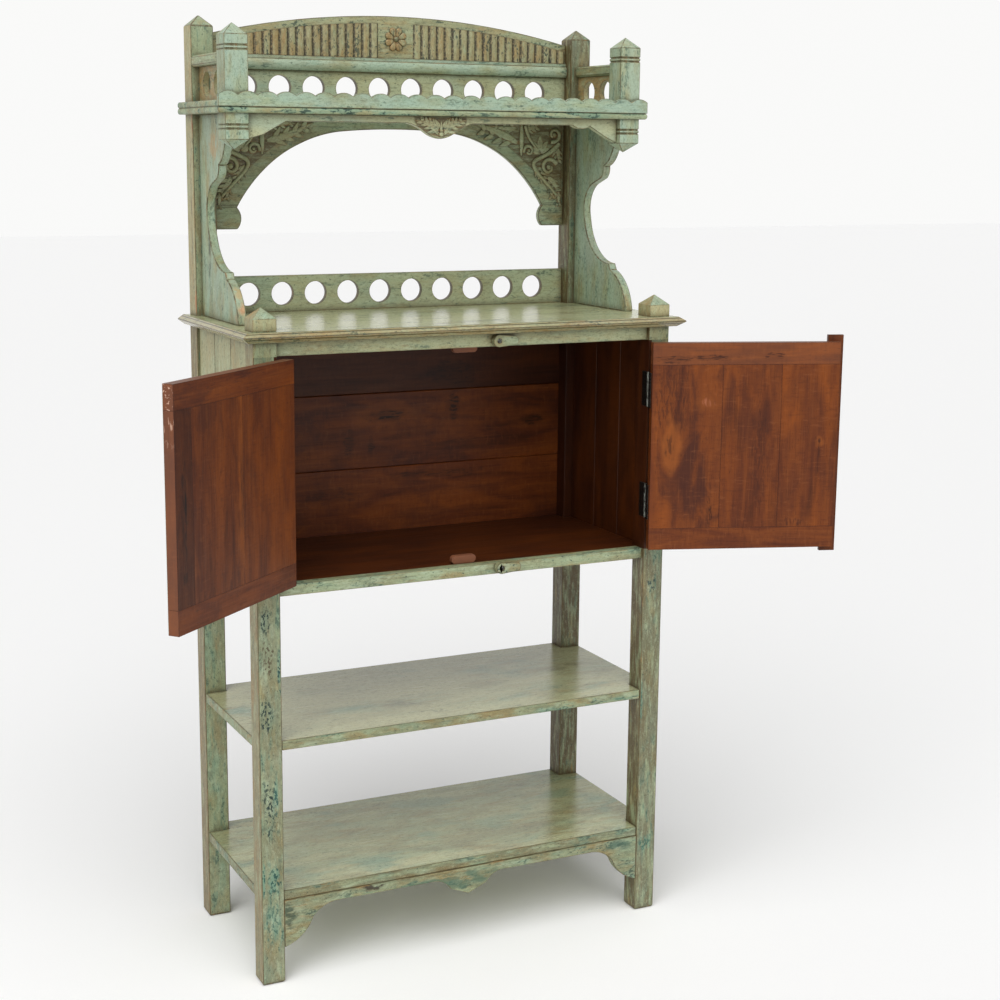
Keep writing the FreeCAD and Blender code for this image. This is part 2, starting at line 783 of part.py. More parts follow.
def shelf_strip():
    """The scalloped strip along the upper shelf's front edge."""
    half = half_width + size.upper_shelf_overhang
    pitch = half * 2 / SCALLOP_COUNT
    path = Path(-half, zero).line(half, zero).line(half, size.strip_cusp_height)
    for index in range(SCALLOP_COUNT):
        end = half - pitch * (index + 1)
        path.arc((end + pitch / 2, size.strip_height), end, size.strip_cusp_height)
    strip = board("shelf_strip", "front", path, size.strip_thickness)
    return place(strip, zero, pendant_front, upper_shelf_bottom + size.upper_shelf_thickness / 2)


def valance():
    """The cut board between the pendants: a drop in the middle, a scroll at each end and one more
    small lobe at the right."""
    top = upper_shelf_bottom
    edge = top - size.valance_band
    lobe = size.valance_lobe_length
    scroll = size.valance_end_length

    def drop(key, side):
        x_share, z_share = VALANCE_DROP_SHARES[key]
        bottom = top - size.valance_centre_drop
        return size.valance_centre_half_length * (x_share * side), bottom + (edge - bottom) * z_share

    def end(shares, length, side):
        x_share, z_share = shares
        bottom = top - size.valance_end_drop
        return (post_inner_x - length * x_share) * side, bottom + (edge - bottom) * z_share

    path = Path(zero, top - size.valance_centre_drop)
    path.arc(drop("cove", 1), *drop("knee", 1)).arc(drop("swell", 1), size.valance_centre_half_length, edge)
    path.line(post_inner_x - lobe, edge).line(*end(VALANCE_LOBE_SHARES["start"], lobe, 1))
    path.arc(end(VALANCE_LOBE_SHARES["swell"], lobe, 1), *end(VALANCE_LOBE_SHARES["cusp"], lobe, 1))
    for shares in VALANCE_END_SHARES["right"]:
        path.line(*end(shares, scroll, 1))
    path.line(post_inner_x, top - size.valance_end_drop).line(post_inner_x, top).line(-post_inner_x, top)
    path.line(-post_inner_x, top - size.valance_end_drop)
    for shares in VALANCE_END_SHARES["left"]:
        path.line(*end(shares, scroll, -1))
    path.line(scroll - post_inner_x, edge).line(-size.valance_centre_half_length, edge)
    path.arc(drop("swell", -1), *drop("knee", -1))
    path.arc(drop("cove", -1), *path.points[0])
    piece = board("valance", "front", path, size.valance_thickness)
    return place(piece, zero, pendant_front + size.valance_setback + size.valance_thickness, zero)


def valance_leaf():
    """The carved leaves on the valance's middle drop."""
    bottom = upper_shelf_bottom - size.valance_centre_drop + size.carving_margin / 2
    height = size.valance_centre_drop - size.carving_margin

    def point(key):
        x_share, z_share = LEAF_SHARES[key]
        return size.valance_centre_half_length * x_share, bottom + height * z_share

    path = Path(zero, bottom).line(*point("cove")).line(*point("swell")).line(*point("tip"))
    path.line(point("tip")[0], bottom + height)
    leaf = board("valance_leaf", "front", path.mirrored(), size.leaf_relief)
    return place(leaf, zero, pendant_front + size.valance_setback, zero)


def side_gallery(name, side):
    """A board with two round holes between a pendant and a rear post."""
    depth = rear_post_front - pendant_back
    path = rectangle(zero, depth, zero, size.top_gallery_height)
    pierced = board(name, "side", path, size.stage_board_thickness)
    first = (depth - size.side_hole_pitch) / 2
    pierce(pierced, "side", (first, size.top_gallery_height / 2), size.side_hole_pitch, SIDE_HOLE_COUNT,
           size.stage_board_thickness)
    far = half_width - size.side_gallery_inset
    return place(pierced, span(side, far - size.stage_board_thickness, far), pendant_back, shelf_top)


def side_cap(name, side):
    """The rounded rail on top of a side gallery."""
    far = half_width - size.side_cap_setback
    low = span(side, far - size.side_cap_width, far)
    path = eased_rectangle(zero, size.side_cap_width, zero, size.cap_height, size.cap_round)
    return place(board(name, "front", path, rear_post_front - pendant_back), low, rear_post_front, cap_bottom)


def back_rail():
    """The moulded rail above the pierced board, with a small bead in front of the crest."""
    front = stage_face - size.cap_projection
    bead_front = stage_face - size.crest_bead_thickness
    bead_top = cap_top + size.crest_bead_height
    start = (front + size.cap_round, cap_bottom)
    path = Path(*start).line(front + size.cap_depth, cap_bottom).line(front + size.cap_depth, cap_top)
    path.line(stage_face, cap_top).line(stage_face, bead_top).line(bead_front, bead_top)
    path.line(bead_front, cap_top).line(front + size.cap_round, cap_top)
    path.arc((front, (cap_top + cap_bottom) / 2), *start)
    return place(board("back_rail", "side", path, between_posts), -post_inner_x, zero, zero)


def crest_board():
    """The crest board, bowed along its top."""
    end = cap_top + size.crest_end_height
    path = Path(-post_inner_x, cap_top).line(post_inner_x, cap_top).line(post_inner_x, end)
    path.arc((zero, end + size.crest_rise), -post_inner_x, end)
    return place(board("crest_board", "front", path, size.stage_board_thickness), zero, stage_back, zero)


def reed_top(x):
    """The height of a reeded panel's upper edge at a distance from the middle."""
    share = x / post_inner_x
    crown = cap_top + size.crest_end_height + size.crest_rise - size.crest_border
    return crown - size.crest_rise * share * share


def reed_panel(name, side):
    """A panel of upright reeds that follows the bow of the crest."""
    inner = size.reed_panel_inner
    outer = post_inner_x - size.reed_end_margin
    middle = (inner + outer) / 2
    bottom = cap_top + size.crest_bead_height
    pitch = (outer - inner) / REED_COUNT
    reeds = Path(outer, zero).line(inner, zero).line(inner, -size.reed_valley)
    for index in range(REED_COUNT):
        start = inner + pitch * index
        reeds.arc((start + pitch / 2, -size.reed_relief), start + pitch, -size.reed_valley)
    field = Path(inner, bottom).line(outer, bottom).line(outer, reed_top(outer))
    field.arc((middle, reed_top(middle)), inner, reed_top(inner))
    if side < 0:
        reeds.flipped()
        field.flipped()
    upright = stretched(name + "_reeds", "floor", reeds, reed_top(zero) * 2, (zero, stage_face, zero))
    face = stretched(name + "_field", "front", field, size.cabinet_depth, (zero, zero, zero))
    return common(name, upright, face)


def rosette():
    """The eight-petalled flower in the middle of the crest."""
    height = cap_top + (size.crest_end_height + size.crest_rise) / 2
    valley = size.rosette_radius * PETAL_VALLEY_SHARE
    turn = 2 * math.pi / ROSETTE_PETAL_COUNT

    def around(radius, steps):
        return radius * math.cos(turn * steps), radius * math.sin(turn * steps)

    path = Path(*around(valley, -1 / 2))
    for index in range(ROSETTE_PETAL_COUNT - 1):
        path.arc(around(size.rosette_radius, index), *around(valley, index + 1 / 2))
    path.arc(around(size.rosette_radius, ROSETTE_PETAL_COUNT - 1), *path.points[0])
    petals = place(board("rosette_petals", "front", path, size.rosette_relief), zero, stage_face, height)
    boss = cylinder("rosette_boss", (zero, stage_face, height), size.rosette_boss_radius,
                    size.rosette_boss_relief, "front")
    return fuse("rosette", [petals, boss])


def door_piece(name, side, near, far, bottom, height):
    """An upright board or a rail of a door, between two distances from the hinge pin."""
    path = seamed_rectangle(near, far, door_outer, door_inner, size.seam_chamfer)
    if side < 0:
        path.flipped()
    return hang(board(name, "floor", path, height), side, bottom)


def door(name, side, board_shares):
    """The two rails and three upright boards of a door, by node name."""
    rail = size.door_rail_height
    pieces = {}
    for level, bottom in (("bottom_rail", door_bottom), ("top_rail", door_top - rail)):
        key = "%s_%s" % (name, level)
        pieces[key] = door_piece(key, side, door_hinge_edge, door_free_edge, bottom, rail)
    near = door_hinge_edge
    for index, share in enumerate(board_shares, start=1):
        key = "%s_board_%d" % (name, index)
        far = near + (door_free_edge - door_hinge_edge) * share
        height = door_top - door_bottom - rail * 2
        pieces[key] = door_piece(key, side, near, far, door_bottom + rail, height)
        near = far
    return pieces


def astragal():
    """The strip on the right door's outer face that laps the left door."""
    far = door_free_edge + size.astragal_lip
    near = far - size.astragal_width
    front = door_outer - size.astragal_thickness
    path = Path(near, front).line(far, front).line(far, door_outer - size.rest_gap)
    path.line(door_free_edge, door_outer - size.rest_gap).line(door_free_edge, door_outer)
    path.line(near, door_outer).flipped()
    height = door_top - door_bottom + size.astragal_end * 2
    return hang(board("astragal", "floor", path, height), -1, door_bottom - size.astragal_end)


def hinge_leaf(name, side, middle, moving):
    """One leaf of a hinge, drawn from its pin. A fixed leaf carries the outer knuckles and the
    pin, a moving leaf the middle knuckle."""
    segment = size.hinge_length * KNUCKLE_SHARE
    bottom = middle - size.hinge_length / 2
    near = size.hinge_side_gap / 2 - size.leaf_thickness
    low = span(side if moving else -side, near, size.hinge_side_gap / 2)
    root = size.knuckle_radius + size.knuckle_gap
    play = size.knuckle_gap if moving else zero
    length = segment - play * 2
    plate_extent = (size.leaf_thickness, size.leaf_width - root, size.hinge_length)
    pieces = [box(name + "_plate", (low, root, bottom), plate_extent)]
    for index in ((1,) if moving else (0, 2)):
        foot = bottom + segment * index + play
        key = "%s_%d" % (name, index)
        pieces.append(box(key + "_root", (low, zero, foot), (size.leaf_thickness, root, length)))
        pieces.append(cylinder(key + "_knuckle", (zero, zero, foot), size.knuckle_radius, length))
    if moving:
        bore = cylinder(name + "_bore", (zero, zero, bottom), size.pin_radius + size.running_clearance,
                        size.hinge_length)
        return cut(name, fuse(name + "_body", pieces), [bore])
    pieces.append(cylinder(name + "_pin", (zero, zero, bottom), size.pin_radius, size.hinge_length))
    return fuse(name, pieces)


def hinge_leaves(name, side, moving):
    """The leaves of a door's two hinges, on its post or on the door."""
    heights = {"low": size.hinge_end_distance, "high": door_top - door_bottom - size.hinge_end_distance}
    leaves = [hinge_leaf("%s_%s" % (name, key), side, middle, moving) for key, middle in heights.items()]
    together = group(name, leaves)
    if moving:
        return hang(together, side, door_bottom)
    return place(together, pin_x * -side, pin_y, door_bottom)


def turn_button(name, x, z):
    """A wooden turn button, round about its screw and narrower at its tip."""
    half = size.button_height / 2
    tip = size.button_tip_height / 2
    radius = size.button_tip_radius
    reach = size.button_reach
    bulge = radius * (1 - ROUND_CORNER_SHARE)
    start = (zero, -half)
    path = Path(*start).line(reach - radius, -tip).arc((reach - bulge, bulge - tip), reach, radius - tip)
    path.line(reach, tip - radius).arc((reach - bulge, tip - bulge), reach - radius, tip)
    path.line(zero, half).arc((-half, zero), *start)
    blank = place(board(name + "_blank", "front", path, size.button_thickness), x, button_back, z)
    hole = cylinder(name + "_hole", (x, button_back, z), size.screw_shank_radius + size.running_clearance,
                    size.button_thickness, "front")
    recess = cylinder(name + "_recess", (x, screw_head_y, z), size.screw_head_radius + size.recess_clearance,
                      size.screw_head_height + size.recess_clearance, "front")
    return cut(name, blank, [hole, recess])


def button_screws():
    """The two screws on which the turn buttons turn."""
    screws = []
    for name, x, z in (("top_screw", size.top_button_across, top_button_z),
                       ("bottom_screw", size.bottom_button_across, bottom_button_z)):
        foot = rail_face + size.screw_grip
        shank = cylinder(name + "_shank", (x, foot, z), size.screw_shank_radius, foot - screw_head_y, "front")
        head = cylinder(name + "_head", (x, screw_head_y, z), size.screw_head_radius, size.screw_head_height,
                        "front")
        screws.append(fuse(name, [shank, head]))
    return group("button_screws", screws)


def door_stop(name, bottom, height):
    """A small block behind the meeting edges of the doors, with its corners cut off."""
    half = size.stop_width / 2
    path = eased_rectangle(-half, half, zero, height, size.stop_corner)
    stop = board(name, "front", path, size.stop_thickness)
    return place(stop, zero, rail_back + size.stop_thickness, bottom)


def paired_nodes():
    """The sub-parts that come in a left and a right copy."""
    makers = {
        "front_post": front_post,
        "rear_post": rear_post,
        "side_boards": side_boards,
        "finial": finial,
        "bracket": bracket,
        "spandrel": spandrel,
        "pendant": pendant,
        "side_gallery": side_gallery,
        "side_cap": side_cap,
        "reed_panel": reed_panel,
    }
    nodes = {}
    for key, maker in makers.items():
        for label, side in (("left", -1), ("right", 1)):
            name = "%s_%s" % (key, label)
            nodes[name] = maker(name, side)
    return nodes


def fixed_nodes():
    """The single sub-parts of the cabinet that don't move."""
    nodes = {
        "bottom_shelf": open_shelf("bottom_shelf", size.bottom_shelf_top),
        "middle_shelf": open_shelf("middle_shelf", size.middle_shelf_top),
        "bottom_apron": bottom_apron(),
        "case_floor": case_floor(),
        "case_bottom_rail": case_rail("case_bottom_rail", case_bottom, size.bottom_rail_height,
                                      size.bottom_button_across, bottom_button_z),
        "case_top_rail": case_rail("case_top_rail", opening_top, size.top_rail_height,
                                   size.top_button_across, top_button_z),
        "counter_top": counter(),
        "counter_gallery": gallery("counter_gallery", size.counter_top, size.gallery_height),
        "arch_board": arch_board(),
        "upper_shelf": upper_shelf(),
        "shelf_strip": shelf_strip(),
        "valance": valance(),
        "valance_leaf": valance_leaf(),
        "top_gallery": gallery("top_gallery", shelf_top, size.top_gallery_height),
        "back_rail": back_rail(),
        "crest_board": crest_board(),
        "rosette": rosette(),
        "button_screws": button_screws(),
        "door_stop_top": door_stop("door_stop_top", opening_top - size.stop_overlap, size.stop_top_height),
        "door_stop_bottom": door_stop("door_stop_bottom", size.floor_top, size.stop_bottom_height),
    }
    for index in range(BACK_BOARD_COUNT):
        name = "back_board_%d" % (index + 1)
        nodes[name] = back_board(name, index)
    return nodes


def moving_nodes():
    """The doors, with both halves of their hinges, and the turn buttons."""
    nodes = door("left_door", 1, LEFT_DOOR_BOARD_SHARES)
    nodes.update(door("right_door", -1, RIGHT_DOOR_BOARD_SHARES))
    nodes["astragal"] = astragal()
    for label, side in (("left", 1), ("right", -1)):
        for seat, moving in (("post", False), ("door", True)):
            name = "%s_hinge_%s_leaves" % (label, seat)
            nodes[name] = hinge_leaves(name, side, moving)
    nodes["top_turn_button"] = turn_button("top_turn_button", size.top_button_across, top_button_z)
    nodes["bottom_turn_button"] = turn_button("bottom_turn_button", size.bottom_button_across, bottom_button_z)
    return nodes


def check(nodes):
    """Stop on any failed object and on any sub-part that isn't a sound solid."""
    failed = [thing.Name for thing in doc.Objects if {"Invalid", "Error"} & set(thing.State)]
    unsound = [name for name, thing in nodes.items()
               if thing.Shape.isNull() or not thing.Shape.isValid() or not thing.Shape.Solids]
    if failed or unsound:
        raise RuntimeError("failed: %s; unsound: %s" % (failed, unsound))


def main():
    """Build the cabinet and write each sub-part."""
    nodes = {**paired_nodes(), **fixed_nodes(), **moving_nodes()}
    doc.recompute()
    for name, thing in nodes.items():
        thing.Label = name
    check(nodes)
    os.makedirs("parts", exist_ok=True)
    for name, thing in nodes.items():
        thing.Shape.exportStep("parts/%s.step" % name)
        print(name, len(thing.Shape.Solids), round(thing.Shape.Volume))


main()
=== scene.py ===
"""Looks of a trastero: a painted cupboard on open shelves, with a scrolled and pierced upper stage."""
import json
import logging
import math
from dataclasses import dataclass, field, replace
from enum import Enum
from functools import cache, partial
from typing import Callable, Optional, Sequence

import bpy
from mathutils import Matrix, Vector


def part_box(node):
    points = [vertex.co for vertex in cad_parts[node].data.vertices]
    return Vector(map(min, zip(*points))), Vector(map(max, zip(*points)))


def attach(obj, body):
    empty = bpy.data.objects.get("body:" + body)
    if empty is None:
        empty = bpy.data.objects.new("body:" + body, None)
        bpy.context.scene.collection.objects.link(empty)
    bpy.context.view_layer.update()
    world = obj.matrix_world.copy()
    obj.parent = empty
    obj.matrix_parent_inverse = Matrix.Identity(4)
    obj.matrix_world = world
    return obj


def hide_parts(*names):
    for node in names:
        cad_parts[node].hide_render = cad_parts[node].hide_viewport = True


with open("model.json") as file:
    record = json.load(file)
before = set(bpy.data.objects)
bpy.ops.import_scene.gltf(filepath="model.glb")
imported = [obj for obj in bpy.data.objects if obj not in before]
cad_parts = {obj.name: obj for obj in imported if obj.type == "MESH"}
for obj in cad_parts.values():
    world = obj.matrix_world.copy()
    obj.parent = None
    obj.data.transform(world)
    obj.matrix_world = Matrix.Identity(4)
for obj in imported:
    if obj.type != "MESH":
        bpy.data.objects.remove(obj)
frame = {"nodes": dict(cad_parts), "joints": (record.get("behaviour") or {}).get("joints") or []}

log = logging.getLogger("trastero")
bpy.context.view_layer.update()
SIDES = ("left", "right")
MM = 0.001  # metres in a millimetre
FACING = 0.9  # the cosine from which a face looks in a direction
SAME_PLANE = 0.0002  # metres between two places that count as one
HOLE_RIM = 0.006  # metres from a board's outline at which the walls of its holes begin
MERGED = 0.00001  # metres between two vertices that become one
SKIN = 0.0005  # metres behind a piece's front that still belong to it
WORN_FROM = 1.12  # height in metres from which a door's free edge is worn
WORN_FULL = 1.20  # height in metres where it is fully worn
VEIN = 0.20  # how far a blade's vein is sunk, where the blade is a unit long
TAPER = 0.72  # how much narrower a blade gets to its tip
FLAT_ANGLE = math.radians(0.4)
CORNER_ANGLE = math.radians(32.0)
PLAIN_ANGLE = math.radians(40.0)
CARVED_ANGLE = math.radians(60.0)

Test = Callable[[Vector, Vector], bool]
Socket = bpy.types.NodeSocket
Piece = bpy.types.Object
Flat = tuple[float, float]
Place = tuple[float, float, float]


class Grain(Enum):
    """The way the fibres of a board run."""

    UP = "up"
    ACROSS = "across"
    DEEP = "deep"


class Slot(Enum):
    """The record's material slots."""

    PAINT = "painted_wood"
    STAIN = "stained_wood"
    IRON = "iron"


def linear(code: str) -> tuple[float, float, float, float]:
    """Turn an sRGB hex colour to linear light.

    Args:
        code: Six hex digits after a hash sign.

    Returns:
        Red, green, blue and an alpha of one.
    """
    parts = [int(code[i:i + 2], 16) / 255 for i in (1, 3, 5)]
    flat = [c / 12.92 if c <= 0.04045 else ((c + 0.055) / 1.055) ** 2.4 for c in parts]
    return flat[0], flat[1], flat[2], 1.0


def add_node(tree: bpy.types.NodeTree, kind: str, sockets: Optional[dict] = None, out: int = 0,
             stops: Sequence[tuple[float, str]] = (), **settings: object) -> Socket:
    """Add a shader node with its settings and links.

    Args:
        tree: The material's tree.
        kind: The node's class name after ShaderNode.
        sockets: Values or other nodes' outputs for the inputs, by name or index.
        out: Which output to return.
        stops: Places and colours of a colour ramp.
        settings: The node's own properties.

    Returns:
        The chosen output.
    """
    node = tree.nodes.new("ShaderNode" + kind)
    for name, value in settings.items():
        setattr(node, name, value)
    for place, value in (sockets or {}).items():
        if isinstance(value, Socket):
            tree.links.new(value, node.inputs[place])
        else:
            node.inputs[place].default_value = value
    if stops:
        ramp = node.color_ramp.elements
        while len(ramp) < len(stops):
            ramp.new(0.5)
        for element, (place, code) in zip(ramp, stops):
            element.position = place
            element.color = linear(code)
    return node.outputs[out] if node.outputs else None


class Pattern:
    """The node tree of one finish, with the few steps that all finishes share."""

    def __init__(self, name: str, grain: Grain, turn: float = 0.0) -> None:
        """Start an empty tree.

        Args:
            name: The material's name.
            grain: The way the fibres run.
            turn: Angle of the board's length from the X axis, in radians.
        """
        self.material = bpy.data.materials.new(name)
        self.material.use_nodes = True
        self.tree = self.material.node_tree
        self.tree.nodes.clear()
        self.add = partial(add_node, self.tree)
        self.grain = grain
        self.back = Matrix.Rotation(-turn, 3, "Z")
        self.clouds: dict[tuple[float, ...], Socket] = {}
        self.here = self.add("TexCoord", out=3)
        self.place = self.add("Mapping", {"Vector": self.here, "Rotation": (0.0, 0.0, -turn)})

    def at(self, across: float, along: float, shift: float = 0.0) -> Socket:
        """Coordinates in which one unit is so many millimetres across and along the grain.

        Args:
            across: Millimetres across the grain.
            along: Millimetres along it.
            shift: A number that gives a pattern of its own.

        Returns:
            The coordinates.
        """
        thin, long = 1 / (across * MM), 1 / (along * MM)
        scale = {Grain.UP: (thin, thin, long), Grain.ACROSS: (long, thin, thin),
                 Grain.DEEP: (thin, long, thin)}[self.grain]
        return self.add("Mapping", {"Vector": self.place, "Scale": scale, "Location": (shift, shift, shift)})

    def noise(self, across: float, along: float, shift: float = 0.0, detail: float = 2.0,
              distortion: float = 0.0) -> Socket:
        """Cloudy noise whose clouds have that size in millimetres.

        Args:
            across: Their size across the grain.
            along: Their size along it.
            shift: A number that gives clouds of their own.
            detail: How many finer layers lie in them.
            distortion: How far they are warped.

        Returns:
            The noise, from zero to one.
        """
        size = (across, along, shift, detail, distortion)
        if size not in self.clouds:
            self.clouds[size] = self.add("TexNoise", {
                "Vector": self.at(across, along, shift), "Scale": 1.0, "Detail": detail, "Roughness": 0.55,
                "Distortion": distortion})
        return self.clouds[size]

    def coordinate(self, axis: int) -> Socket:
        """How far a place lies along an axis, in metres."""
        return self.add("SeparateXYZ", {0: self.here}, out=axis)

    def window(self, value: object, low: float, high: float, top: float = 1.0) -> Socket:
        """Spread the part of a value, or of the noise of that size, from low to high over zero to top.

        Args:
            value: A value, or the size of a noise.
            low: What becomes zero.
            high: What becomes top.
            top: The result's upper end.

        Returns:
            The spread value.
        """
        value = self.noise(*value) if isinstance(value, tuple) else value
        return self.add("MapRange", {"Value": value, 1: low, 2: high, 3: 0.0, 4: top},
                        interpolation_type="SMOOTHSTEP")

    def math(self, way: str, one: object, two: object) -> Socket:
        """One sum, product or other step on two values."""
        return self.add("Math", {0: one, 1: two}, operation=way, use_clamp=way != "SUBTRACT")

    def times(self, *values: object) -> Socket:
        """The product of several values.

        Args:
            values: Numbers or outputs.

        Returns:
            The product.
        """
        total = values[0]
        for value in values[1:]:
            total = self.math("MULTIPLY", total, value)
        return total

    def over(self, base: object, colour: object, amount: object) -> Socket:
        """Lay a colour over another by an amount.

        Args:
            base: The colour below.
            colour: The colour on top.
            amount: How much of the upper one is seen.

        Returns:
            The mixed colour.
        """
        layers = {0: amount, 6: linear(base) if isinstance(base, str) else base,
                  7: linear(colour) if isinstance(colour, str) else colour}
        return self.add("Mix", layers, out=2, data_type="RGBA")

    def lay(self, colour: object, *coats: tuple[str, object, float, float, float]) -> Socket:
        """Lay coats one over the other, each where its pattern passes through a window.

        Args:
            colour: What lies below.
            coats: For each its colour, its pattern or its noise's size, the window's ends and its amount.

        Returns:
            The colour on top.
        """
        for code, pattern, low, high, amount in coats:
            if amount:
                colour = self.over(colour, code, self.window(pattern, low, high, amount))
        return colour

    def edge(self, reach: float) -> Socket:
        """How near a sharp edge is, within a reach in millimetres.

        Args:
            reach: The radius that is searched.

        Returns:
            Zero on a flat face, more at an edge.
        """
        soft = self.add("Bevel", {"Radius": reach * MM}, samples=4)
        flat = self.add("NewGeometry", out=1)
        same = self.add("VectorMath", {0: soft, 1: flat}, out=1, operation="DOT_PRODUCT")
        return self.math("SUBTRACT", 1.0, same)

    def hollow(self, reach: float, alone: bool = True) -> Socket:
        """How deep a place lies in a corner or groove, within a reach in millimetres."""
        open_air = self.add("AmbientOcclusion", {"Distance": reach * MM}, out=1, samples=6, only_local=alone)
        return self.math("SUBTRACT", 1.0, open_air)

    def spot(self, place: Sequence[float], reach: Sequence[float], wobble: float, shift: float) -> Socket:
        """How near a place is, one in its middle, with a wobbly rim.

        Args:
            place: X, Y and Z in millimetres.
            reach: Half its size along the board's length, depth and height in millimetres.
            wobble: How much its rim wanders, as a share of its size.
            shift: A number that makes its rim its own.

        Returns:
            The amount.
        """
        middle = self.back @ Vector(place) * MM
        away = self.add("VectorMath", {0: self.place, 1: middle}, operation="SUBTRACT")
        away = self.add("VectorMath", {0: away, 1: [1 / (r * MM) for r in reach]}, operation="MULTIPLY")
        far = self.add("VectorMath", {0: away}, out=1, operation="LENGTH")
        rim = self.math("MULTIPLY", self.noise(min(reach), min(reach) * 2.0, shift, 2.0), 2.0 * wobble)
        near = self.math("SUBTRACT", self.math("SUBTRACT", 1.0 + wobble, far), rim)
        return self.window(near, 0.0, 0.6)

    def groove(self, level: float, width: float) -> Socket:
        """A dark line round the piece at a height, both in millimetres.

        Args:
            level: The line's height.
            width: Half its width.

        Returns:
            One in the line and zero beside it.
        """
        off = self.math("SUBTRACT", self.coordinate(2), level * MM)
        off = self.add("Math", {0: off}, operation="ABSOLUTE")
        return self.math("SUBTRACT", 1.0, self.window(off, 0.3 * width * MM, width * MM))

    def finish(self, colour: object, roughness: object, height: Optional[Socket],
               depth: float, **sockets: object) -> bpy.types.Material:
        """Close the tree with the surface shader.

        Args:
            colour: The last colour layer.
            roughness: A value or an output.
            height: Height of the surface from zero to one, if it has relief.
            depth: What a height of one means, in millimetres.
            sockets: More values for the shader, with underscores for spaces.

        Returns:
            The material.
        """
        values = {name.replace("_", " "): value for name, value in sockets.items()}
        values.update({"Base Color": colour, "Roughness": roughness})
        if height is not None:
            values["Normal"] = self.add("Bump", {"Height": height, "Distance": depth * MM, "Strength": 0.6})
        self.add("OutputMaterial", {"Surface": self.add("BsdfPrincipled", values)})
        return self.material


@dataclass(frozen=True)
class Mark:
    """One knot, nail head, chip or slit: its place and half its size in millimetres, and its colour."""

    place: Place
    reach: Place
    colour: str
    wobble: float = 0.3
    amount: float = 0.9
    halo: float = 0.4


